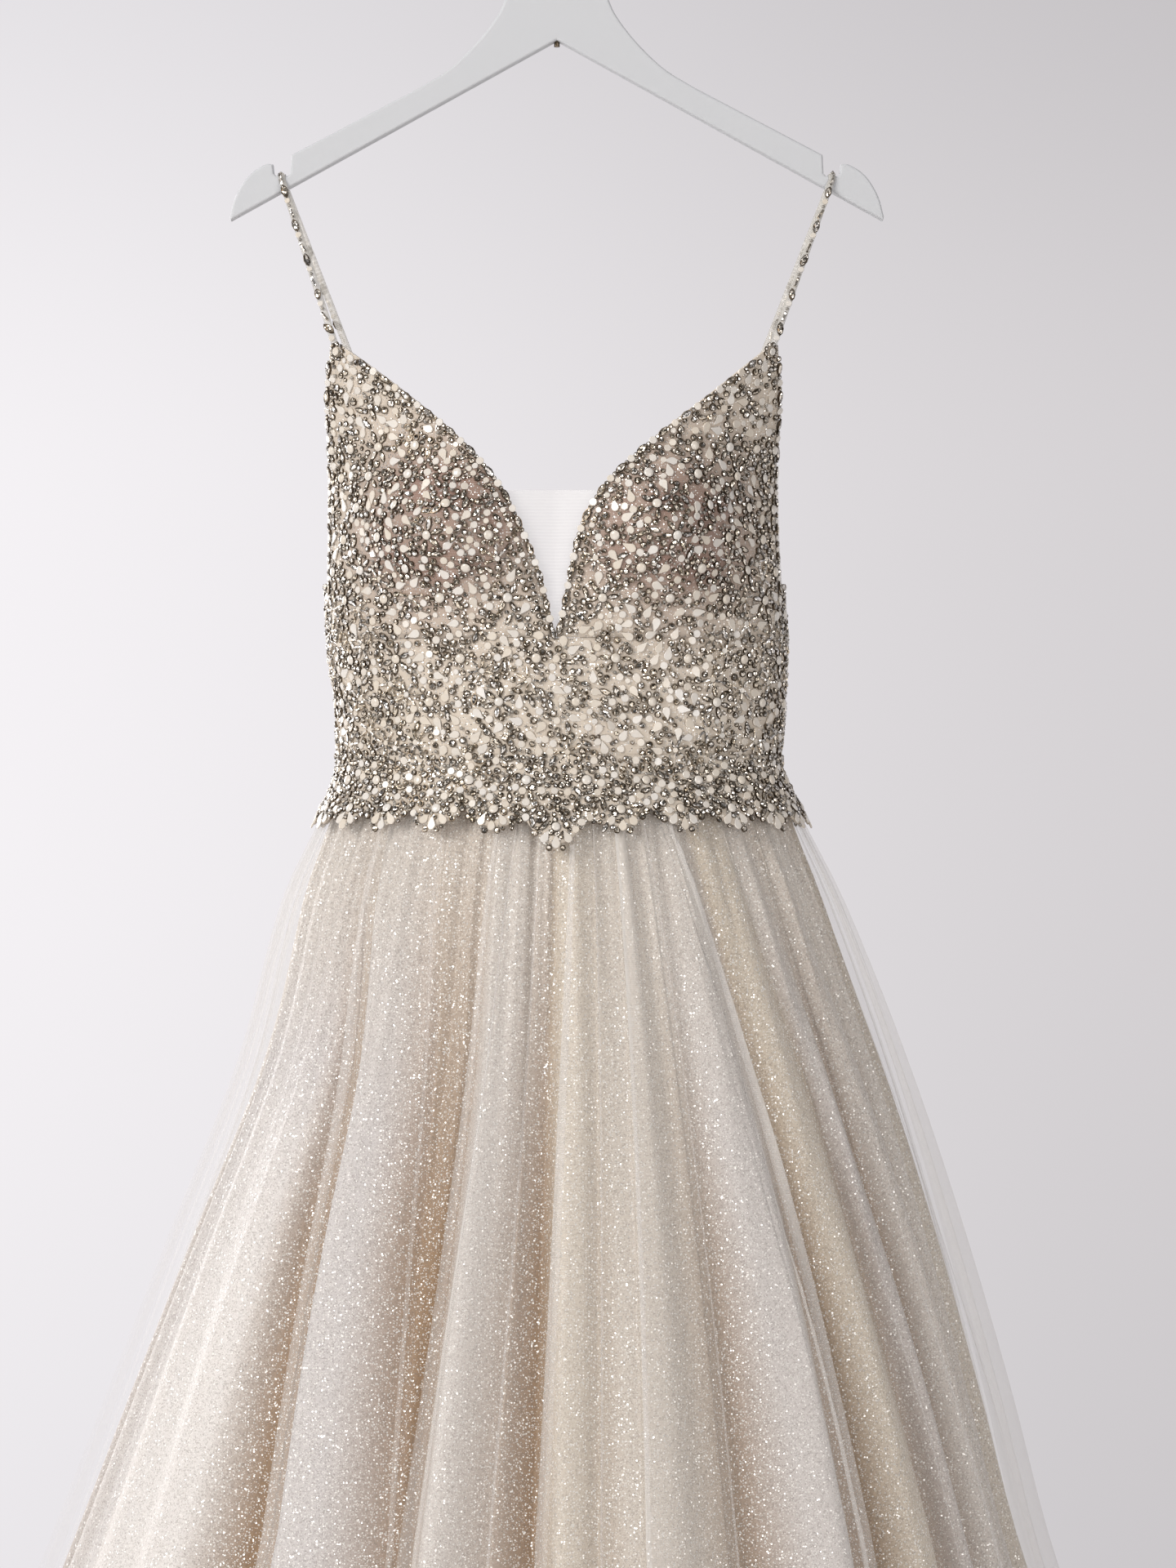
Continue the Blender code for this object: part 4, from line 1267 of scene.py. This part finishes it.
def stonePlaces():
    places = []

    def middleOf(rows, i, j):
        (zLow, low), (zHigh, high) = rows[j], rows[j + 1]
        return (low[i] + low[i + 1] + high[i] + high[i + 1]) / 4, (zLow + zHigh) / 2

    for side in (-1, 1):
        rows = []
        for z in cupLevels:
            inner = abs(float(necklineAngle(side, z)))
            outer = float(cupEdgeAngle(z)) - 0.06
            rim = min(math.degrees(0.008 / 0.12), (outer - inner) * 0.3)
            rows.append((z, [inner, inner + rim] + evenSteps(inner + rim * 1.35, outer, 8)))
        for j in range(1, 8):
            for i in range(2, 10):
                narrow = min(rows[j][1][i + 1] - rows[j][1][i], rows[j + 1][1][i + 1] - rows[j + 1][1][i])
                room = min(math.radians(narrow) * 0.12, rows[j + 1][0] - rows[j][0])
                if (i + j) % 2 == 1 and room > 0.009 * 1.2:
                    a, z = middleOf(rows, i, j)
                    places.append((side * a, z))
        flank = [(z, evenSteps(shape["sideSeam"], shape["backSeam"], 4)) for z in panelLevels[:5]]
        places += [(side * middleOf(flank, i, j)[0], middleOf(flank, i, j)[1])
                   for j in range(1, 4) for i in range(4) if (i + j) % 2 == 1]
        for j in range(1, 4):
            for i in range(4):
                if (i + j) % 2 == 1:
                    a = shape["backSeam"] + (180 - shape["backSeam"]) * (i + 0.5) / 8
                    rise = shape["underarmZ"] - shape["waistZ"]
                    s = [(panelLevels[k] - shape["waistZ"]) / rise for k in (j, j + 1)]
                    z = shape["waistZ"] + (float(backTop(a)) - shape["waistZ"]) * sum(s) / 2
                    places.append((side * a, z))
    front = [(z, evenSteps(-shape["sideSeam"], shape["sideSeam"], 16)) for z in panelLevels[:4]]
    places += [middleOf(front, i, j) for j in range(1, 3) for i in range(16) if (i + j) % 2 == 1]
    return places


def beadAlong(degrees, z, kind, spin, crowd=0.0, lift=0.0):
    setBead(kind, bodicePlace(degrees, z, lift), spin, crowd, areaOf(degrees, z))


def metresPerDegree(degrees, z):
    return float(np.linalg.norm(bodicePoint(degrees + 1, z) - bodicePoint(degrees - 1, z))) / 2


def ringOf(centre, radius, count, kind, crowd, turned=0.0, radial=False):
    # Stones in a ring round a place on the bodice
    degrees, z = centre
    span = metresPerDegree(degrees, z)
    for k in range(count):
        a = 2 * math.pi * k / count + turned
        d = degrees + radius * math.cos(a) / span
        zz = z + radius * math.sin(a) * 0.98
        if z > shape["cupTopZ"] - 0.012 or bool(insideBodice(d, zz, 0.001)):
            beadAlong(d, min(zz, shape["cupTopZ"] + 0.004), kind, a + (0 if radial else math.pi / 2), crowd)


def edgeRow(angle, z, inward, kinds):
    # Stones in turn along an edge, half of each standing past the cloth
    points = bodicePoint(angle, z)
    run = np.concatenate(([0], np.cumsum(np.linalg.norm(np.diff(points, axis=0), axis=1))))
    where, k = 0.002, 0
    while where < run[-1] - 0.002:
        kind = kinds[k % len(kinds)]
        length = beadSizes[kind][1]
        i = min(max(int(np.searchsorted(run, where + length / 2)), 1), len(z) - 2)
        heading = unit(points[i + 1] - points[i - 1])
        place = bodicePlace(float(angle[i]), float(z[i]), 0.0006)
        across = np.cross(place[3], heading) * inward
        place = (place[0] + across * 0.0012, *place[1:])
        spin = math.atan2(float(heading @ place[2]), float(heading @ place[1]))
        setBead(kind, place, spin, 0, areaOf(angle[i], z[i]))
        where += length * 0.98
        k += 1


def edgeRows():
    # The neckline, the armholes and the back's top edge
    rich = ("navetteLarge", "chatonSmall", "opal", "chatonSmall")
    plain = ("navette", "opalSmall", "chaton", "opalSmall")
    for side in (-1, 1):
        z = np.linspace(shape["cupTopZ"] - 0.009, shape["cupFootZ"] + 0.002, 900)
        edgeRow(necklineAngle(side, z), z, side, rich)
        z = np.linspace(shape["cupTopZ"] - 0.009, shape["underarmZ"], 400)
        edgeRow(side * cupEdgeAngle(z), z, -side, rich)
        z = np.linspace(shape["underarmZ"], shape["sideTopZ"], 400)
        edgeRow(side * cupEdgeAngle(z), z, -side, plain)
        away = side * np.linspace(shape["sideSeam"], shape["backSeam"], 400)
        edgeRow(away, shape["sideTopZ"] + 0 * away, side, plain)
        away = side * np.linspace(shape["backSeam"], 179.2, 700)
        edgeRow(away, backTop(away), side, rich)
        z = np.linspace(shape["cupTopZ"] - 0.014, shape["cupFootZ"] + 0.006, 110)
        for k, height in enumerate(z):
            a = float(necklineAngle(side, height)) + side * math.degrees(0.0066 / 0.13)
            beadAlong(a, height, ("chatonSmall", "opalSmall", "chaton")[k % 3], 0.0, 0.86, 0.0003)


def apexRings():
    for side in (-1, 1):
        a = side * (float(cupEdgeAngle(shape["cupTopZ"])) - 3.0)
        centre = (a, shape["cupTopZ"] - 0.0045)
        beadAlong(*centre, "opal", 0.0, 0, 0.0012)
        ringOf(centre, 0.0050, 9, "chatonSmall", 0.55)


petals = (
    # distance from the middle, how many, kind, how near others may lie, whether they point outwards
    (0.0072, 6, "navette", 0.62, True),
    (0.0052, 8, "chatonSmall", 0.70, False),
    (0.0057, 7, "chaton", 0.70, False),
)


def flowers():
    for k, centre in enumerate(stonePlaces()):
        beadAlong(*centre, "dome", random.uniform(0, fullTurn))
        turn = random.uniform(0, fullTurn)
        ringOf(centre, *petals[k % 3][:4], turn, petals[k % 3][4])


def starbursts():
    # Bugle beads fan out from a small opal, mostly low at the sides
    for _ in range(520):
        degrees = random.uniform(-180, 180)
        z = random.uniform(shape["waistZ"], -0.47)
        away = abs(degrees)
        if away < 38 and random.random() > 0.12:
            continue
        if not insideBodice(np.array(degrees), np.array(z), 0.010):
            continue
        centre = bodicePlace(degrees, z)
        if not isFree(centre[0], 0.0050, 0.95):
            continue
        beadAlong(degrees, z, "opalSmall", 0.0, 0, 0.0003)
        start = random.uniform(0, fullTurn)
        count = int(random.integers(5, 8))
        span = metresPerDegree(degrees, z)
        for k in range(count):
            a = start + k * fullTurn / 7
            d = degrees + 0.0056 * math.cos(a) / span
            zz = z + 0.0056 * math.sin(a)
            if insideBodice(np.array(d), np.array(zz), 0.001):
                beadAlong(d, zz, "bugle", a, 0.0, 0.0004)


def isOpen(degrees, z):
    # Patches between the sprays of stones, where the cloth shows
    s = degrees * 0.0026
    wave = np.sin(170 * s + 2.2 * np.sin(120 * z)) + np.sin(190 * z + 2.0 * np.sin(130 * s + 1))
    return wave + 0.7 * np.sin(290 * s - 240 * z + 2) > 0.95


def isMilky(degrees, z):
    # Where opals and drops lie rather than crystals
    s = degrees * 0.0026
    wave = np.sin(150 * s + 1.7 * np.sin(140 * z) + 4) + np.sin(160 * z + 1.9 * np.sin(110 * s + 3))
    return wave > 0.15


def fillBodice():
    # From large to small, each kind goes where there is room
    passes = (
        # kind, tries, limit, how near others may lie, share in open patches, in milky groups and elsewhere
        ("drop", 6200, 340, 1.02, 0.2, 0.9, 0.2),
        ("opal", 8000, 540, 1.04, 0.2, 1.0, 0.2),
        ("navette", 7000, 460, 0.98, 0.0, 0.2, 1.0),
        ("chatonLarge", 26000, 1400, 0.96, 0.0, 0.1, 1.0),
        ("chaton", 46000, noLimit, 0.92, 0.03, 0.3, 1.0),
        ("opalSmall", 12000, 420, 0.94, 0.1, 1.0, 0.25),
        ("chatonSmall", 40000, noLimit, 0.88, 0.06, 0.6, 1.0),
        ("seedLarge", 20000, 300, 0.84, 0.1, 1.0, 1.0),
        ("seed", 14000, 300, 0.8, 0.25, 1.0, 1.0),
    )
    for kind, tries, limit, crowd, openShare, milkyShare, otherShare in passes:
        degrees = random.uniform(-180, 180, tries)
        z = random.uniform(shape["waistZ"] - 0.001, shape["cupTopZ"], tries)
        spin = random.uniform(0, fullTurn, tries)
        good = insideBodice(degrees, z, 0.0022) & (z > waistEdge["topZ"] + 0.001)
        share = np.where(isMilky(degrees, z), milkyShare, otherShare)
        share = np.where(isOpen(degrees, z), openShare, share)
        good &= random.uniform(0, 1, tries) < share
        degrees, z, spin = degrees[good], z[good], spin[good]
        places = bodicePlace(degrees, z, 0.0006 if "seed" in kind else 0.0)
        areas = [areaOf(a, b) for a, b in zip(degrees, z)]
        print("beads", kind, setMany(kind, places, spin, crowd, areas, limit))


def waistArea(degrees):
    return "waist_beads_front" if abs(degrees) < 90 else "waist_beads_back"


def fillWaistEdge():
    # Clusters hang over the gathers, with drops at the tips of the scallops
    step = 360 / waistEdge["scallops"]
    for k in range(waistEdge["scallops"]):
        a = wrapDegrees(k * step)
        low = float(edgeLow(a))
        area = waistArea(a)
        setBead("drop", edgePlace(a, low + 0.0040, 0.0), math.pi / 2, 0, area)
        for j in (-1, 1):
            setBead("drop", edgePlace(a + j * 2.6, low + 0.0075), math.pi / 2 + j * 0.5, 0.7, area)
            setBead("chaton", edgePlace(a + j * 1.5, low + 0.0012), 0, 0.8, area)
        setBead("dome", edgePlace(a, low + 0.0150), 0, 0.9, area)
        half = wrapDegrees(a + step / 2)
        setBead("dome", edgePlace(half, -0.6185), 0, 0.9, waistArea(half))
    passes = (
        # kind, tries, limit, how near others may lie
        ("opal", 2500, 170, 1.0),
        ("navette", 2600, 150, 0.95),
        ("chatonLarge", 3000, 260, 0.95),
        ("chaton", 9000, noLimit, 0.92),
        ("drop", 800, 40, 1.0),
        ("bugle", 900, 80, 0.9),
        ("chatonSmall", 9000, noLimit, 0.86),
        ("seedLarge", 5000, 260, 0.8),
        ("seed", 6000, 360, 0.74),
    )
    for kind, tries, limit, crowd in passes:
        degrees = random.uniform(-180, 180, tries)
        z = waistEdge["topZ"] + (edgeLow(degrees) + 0.0015 - waistEdge["topZ"]) * random.uniform(0, 1, tries)
        spin = random.uniform(0, fullTurn, tries)
        areas = [waistArea(a) for a in degrees]
        setMany(kind, edgePlace(degrees, z), spin, crowd, areas, limit)


# Straps: a narrow ribbon from the cup's tip over the hanger's notch to the back, with a row of beads on it

strap = {
    "notchX": 0.1845,
    "notchZ": -0.2125,
    "face": 0.0063,
    "topDrop": 0.003,
    "ribbonWidth": 0.0046,
    "ribbonThickness": 0.0007,
}


def strapLine(side):
    # Points along the strap's middle, with the direction straight out of its face
    top = strap["notchZ"]
    foot = bodiceAt(side * (float(cupEdgeAngle(shape["cupTopZ"])) - 2.1), shape["cupTopZ"] - 0.001, -0.0008)
    heel = bodiceAt(side * shape["strapBack"], float(backTop(shape["strapBack"])) - 0.001, -0.0008)
    frontTop = np.array((side * strap["notchX"], -strap["face"], top - strap["topDrop"]))
    rearTop = np.array((side * strap["notchX"], strap["face"], top - strap["topDrop"]))
    front = [foot + (frontTop - foot) * s for s in np.linspace(0, 1, 40)]
    rear = [rearTop + (heel - rearTop) * s for s in np.linspace(0, 1, 60)]
    over = []
    for turn in np.radians(np.linspace(10, 170, 11)):
        y, z = -strap["face"] * math.cos(turn), top + 0.0008 * math.sin(turn)
        over.append(np.array((side * strap["notchX"], y, z)))
    line = np.array(front + over + rear)
    return line, len(front), len(front) + len(over)


def strapFrames(line):
    heading = unit(np.gradient(line, axis=0))
    across = np.array((1.0, 0, 0)) - heading * heading[:, :1]
    across = unit(across)
    out = unit(np.cross(across, heading))
    return heading, across, out


def makeStraps():
    for side, word in ((-1, "left"), (1, "right")):
        line, frontEnd, rearStart = strapLine(side)
        heading, across, out = strapFrames(line)
        width, thick = strap["ribbonWidth"] / 2, strap["ribbonThickness"]
        points = np.stack((line - across * width, line + across * width), 0).transpose(1, 0, 2)
        piece = gridObject("strap_" + word + "_ribbon", points[::-1], clothUv(points))
        applyModifier(piece, "SOLIDIFY", thickness=thick, offset=0.0)
        dressPiece(piece, "ribbonNet", "beaded_strap", "strap_" + word)
        run = np.concatenate(([0], np.cumsum(np.linalg.norm(np.diff(line, axis=0), axis=1))))
        order = ("opalSmall", "navetteLarge", "bugle", "seedLarge")
        where, k = 0.004, 0
        while where < run[-1] - 0.003:
            kind = order[k % len(order)]
            length = beadSizes[kind][1]
            middle = where + length / 2
            point = np.array([np.interp(middle, run, line[:, c]) for c in range(3)])
            i = int(np.clip(np.searchsorted(run, middle), 1, len(line) - 1))
            n = unit(out[i - 1] + out[i])
            if n[1] * (1 if i > (frontEnd + rearStart) / 2 else -1) < 0 and abs(n[1]) > 0.2:
                n = -n
            if abs(n[1]) <= 0.6 and n[2] < 0:
                n = -n
            along = unit(heading[i] - n * float(heading[i] @ n))
            aside = across[i] * side * 0.0008
            place = (point + n * (thick / 2) + aside, along, np.cross(n, along), n)
            placed.append((kind, "strap_beads_" + word, *place, random.normal(0, 0.2)))
            where += length * 1.2
            k += 1


edgeRows()
apexRings()
flowers()
starbursts()
fillBodice()
fillWaistEdge()
makeStraps()
print("bead places:", len(placed))


def joinBeads():
    # One mesh for each area, from all its beads
    areas = sorted(set(item[1] for item in placed))
    made = {}
    for area in areas:
        points, loops, sizes, slots, smooth, tone = [], [], [], [], [], []
        start = 0
        for kind in beadSizes:
            items = [item for item in placed if item[1] == area and item[0] == kind]
            if not items:
                continue
            protoName, length, width, height = beadSizes[kind]
            proto, finish = prototypes[protoName]
            centre, sideways, up, out = (np.array([item[c] for item in items]) for c in (2, 3, 4, 5))
            spin = np.array([item[6] for item in items])
            lean = random.normal(0, 0.10, (len(items), 2))
            out = unit(out + sideways * lean[:, :1] + up * lean[:, 1:])
            x = sideways * np.cos(spin)[:, None] + up * np.sin(spin)[:, None]
            x = unit(x - out * (x * out).sum(1, keepdims=True))
            y = np.cross(out, x)
            size = random.uniform(0.94, 1.06, len(items))[:, None, None]
            local = proto["points"] * (length, width, height)
            world = (centre[:, None] + (local[None, :, :1] * x[:, None] + local[None, :, 1:2] * y[:, None]
                                        + local[None, :, 2:] * out[:, None]) * size)
            count = len(local)
            flat = np.concatenate([np.array(f) for f in proto["faces"]])
            faceSizes = np.array([len(f) for f in proto["faces"]])
            shifts = start + np.arange(len(items)) * count
            loops.append((flat[None, :] + shifts[:, None]).ravel())
            sizes.append(np.tile(faceSizes, len(items)))
            slots.append(np.tile(np.where(proto["stone"], beadFinishes.index(finish), 0), len(items)))
            smooth.append(np.tile(proto["smooth"], len(items)))
            tone.append(np.repeat(random.uniform(0, 1, len(items)), count))
            points.append(world.reshape(-1, 3))
            start += count * len(items)
        mesh = arrayMesh(area, np.concatenate(points), np.concatenate(loops), np.concatenate(sizes),
                         np.concatenate(smooth))
        for name in beadFinishes:
            mesh.materials.append(finishes[name])
        mesh.polygons.foreach_set("material_index", np.concatenate(slots).astype(np.int32))
        addValues(mesh, "tone", np.concatenate(tone))
        piece = bpy.data.objects.new(area, mesh)
        scene.collection.objects.link(piece)
        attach(piece, "root")
        made[area] = piece
        triangles = int((np.concatenate(sizes) - 2).sum())
        print("bead mesh", area, triangles)
    return made


beadPieces = joinBeads()


# Hanger, hook and buttons

hanger = {
    "thickness": 0.012,
    "round": 0.0016,
    "outline": (
        (0.0000, -0.0705), (0.0125, -0.0720), (0.0240, -0.0775), (0.0315, -0.0860), (0.0346, -0.0940),
        (0.0390, -0.1039), (0.0475, -0.1160), (0.0590, -0.1290), (0.0735, -0.1420), (0.0920, -0.1533),
    ),
    "arm": (
        (0.1784, -0.1987), (0.1790, -0.2112), (0.1806, -0.2128), (0.1884, -0.2128), (0.1900, -0.2112),
        (0.1906, -0.2050), (0.1960, -0.2052), (0.2070, -0.2125), (0.2155, -0.2260), (0.2195, -0.2400),
        (0.2190, -0.2425), (0.0000, -0.1215),
    ),
    "wire": 0.002,
    "hookInside": 0.0205,
    "hookTip": 205.0,
    "hookTurn": -52.0,
    "tipRadius": 0.0019,
    "tipLength": 0.0055,
    "tipZ": -0.1228,
}


def smoothLine(points, steps):
    # More points on a smooth curve through the given ones
    points = np.array(points, float)
    padded = np.concatenate((2 * points[:1] - points[1:2], points, 2 * points[-1:] - points[-2:-1]))
    made = []
    for i in range(1, len(points)):
        a, b, c, d = padded[i - 1:i + 3]
        for s in np.arange(steps) / steps:
            bend = 2 * b + (c - a) * s + (2 * a - 5 * b + 4 * c - d) * s**2
            made.append(0.5 * (bend + (3 * b - a - 3 * c + d) * s**3))
    made.append(points[-1])
    return made


def curveToMesh(name, points, closed, **settings):
    curve = bpy.data.curves.new(name, "CURVE")
    for key, value in settings.items():
        setattr(curve, key, value)
    spline = curve.splines.new("POLY")
    spline.use_cyclic_u = closed
    spline.points.add(len(points) - 1)
    for slot, point in zip(spline.points, points):
        slot.co = (*point, 1)
    piece = bpy.data.objects.new(name, curve)
    scene.collection.objects.link(piece)
    chooseOnly(piece)
    bpy.ops.object.convert(target="MESH")
    return bpy.context.object


def makeHanger():
    dome = smoothLine(hanger["outline"], 4)
    lobe = smoothLine(hanger["arm"][5:10], 4)
    half = dome + list(hanger["arm"][:5]) + lobe + list(hanger["arm"][10:])
    line = [(x, z, 0) for x, z in half] + [(-x, z, 0) for x, z in reversed(half[1:-1])]
    piece = curveToMesh("hanger_body_wood", line, True, dimensions="2D", fill_mode="BOTH",
                        extrude=hanger["thickness"] / 2 - hanger["round"], bevel_depth=hanger["round"],
                        bevel_resolution=3, offset=-hanger["round"])
    piece.rotation_euler = (math.radians(90), 0, 0)
    applyPlace(piece)
    bpy.ops.object.mode_set(mode="EDIT")
    bpy.ops.mesh.select_all(action="SELECT")
    bpy.ops.mesh.remove_doubles(threshold=0.00002)
    bpy.ops.mesh.normals_make_consistent(inside=False)
    bpy.ops.object.mode_set(mode="OBJECT")
    bpy.ops.object.shade_smooth_by_angle(angle=math.radians(10))
    return dressPiece(piece, "hangerPaint", "hanger_paint", "hanger_body")


def makeHook():
    radius = hanger["hookInside"] + hanger["wire"]
    centreZ = -hanger["hookInside"]
    points = []
    for a in np.radians(np.linspace(hanger["hookTip"], hanger["hookTurn"], 41)):
        points.append(np.array((radius * math.cos(a), 0, centreZ + radius * math.sin(a))))
    leave = points[-1]
    heading = unit(points[-1] - points[-2]) * 0.012
    stemTop = np.array((0, 0, -0.0535))
    for s in np.linspace(0.15, 0.9, 8):
        a = leave + heading * s
        b = stemTop + np.array((0, 0, 0.010)) * (1 - s)
        mix = s * s * (3 - 2 * s)
        points.append(a + (b - a) * mix)
    points += [stemTop, np.array((0, 0, -0.062)), np.array((0, 0, -0.0702))]
    piece = curveToMesh("hanger_hook_wire", points, False, dimensions="3D", bevel_depth=hanger["wire"],
                        bevel_resolution=5, use_fill_caps=True)
    bpy.ops.object.shade_smooth_by_angle(angle=math.radians(40))
    return dressPiece(piece, "hookSteel", "hook_steel", "hanger_hook")


def makeStemTip():
    # The dark end of the hook's stem, just below the wood
    deselectAll()
    bpy.ops.mesh.primitive_cylinder_add(vertices=16, radius=hanger["tipRadius"], depth=hanger["tipLength"],
                                        location=(0, 0, hanger["tipZ"]))
    piece = bpy.context.object
    piece.name = "hanger_stem_tip"
    applyPlace(piece)
    bpy.ops.object.shade_smooth_by_angle(angle=math.radians(40))
    piece.data.materials.clear()
    piece.data.materials.append(finishes["antiqueSilver"])
    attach(piece, "root")
    return piece


buttons = {"count": 5, "radius": 0.0055, "dome": 0.7, "topZ": -0.544, "pitch": 0.0122}


def makeButtons():
    for k in range(buttons["count"]):
        z = buttons["topZ"] - buttons["pitch"] * k
        point, _, _, out = bodiceFrame(180.0, z)
        deselectAll()
        bpy.ops.mesh.primitive_uv_sphere_add(segments=24, ring_count=12, radius=buttons["radius"])
        piece = bpy.context.object
        piece.name = "button_%d_cover" % (k + 1)
        bpy.ops.object.mode_set(mode="EDIT")
        bpy.ops.mesh.select_all(action="SELECT")
        bpy.ops.mesh.bisect(plane_co=(0, 0, 0.0002), plane_no=(0, 0, 1), clear_inner=True, use_fill=True)
        bpy.ops.mesh.select_all(action="SELECT")
        bpy.ops.transform.resize(value=(1, 1, buttons["dome"]), center_override=(0, 0, 0))
        bpy.ops.object.mode_set(mode="OBJECT")
        piece.rotation_mode = "QUATERNION"
        piece.rotation_quaternion = Vector(out).to_track_quat("Z", "Y")
        piece.location = Vector(point + out * 0.0003)
        applyPlace(piece)
        bpy.ops.object.shade_smooth_by_angle(angle=math.radians(50))
        dressPiece(piece, "buttonSatin", "button_satin", "button_%d" % (k + 1))


makeHanger()
makeHook()
makeStemTip()
makeButtons()
print("hanger, hook and buttons ready")


# The surface area of each sheet of cloth

def areaOfPiece(piece):
    return sum(face.area for face in piece.data.polygons)


def declareCloth():
    cloth = {**skirtPieces, **bodicePieces}
    for name, piece in cloth.items():
        print("cloth", name, round(areaOfPiece(piece), 4))


declareCloth()
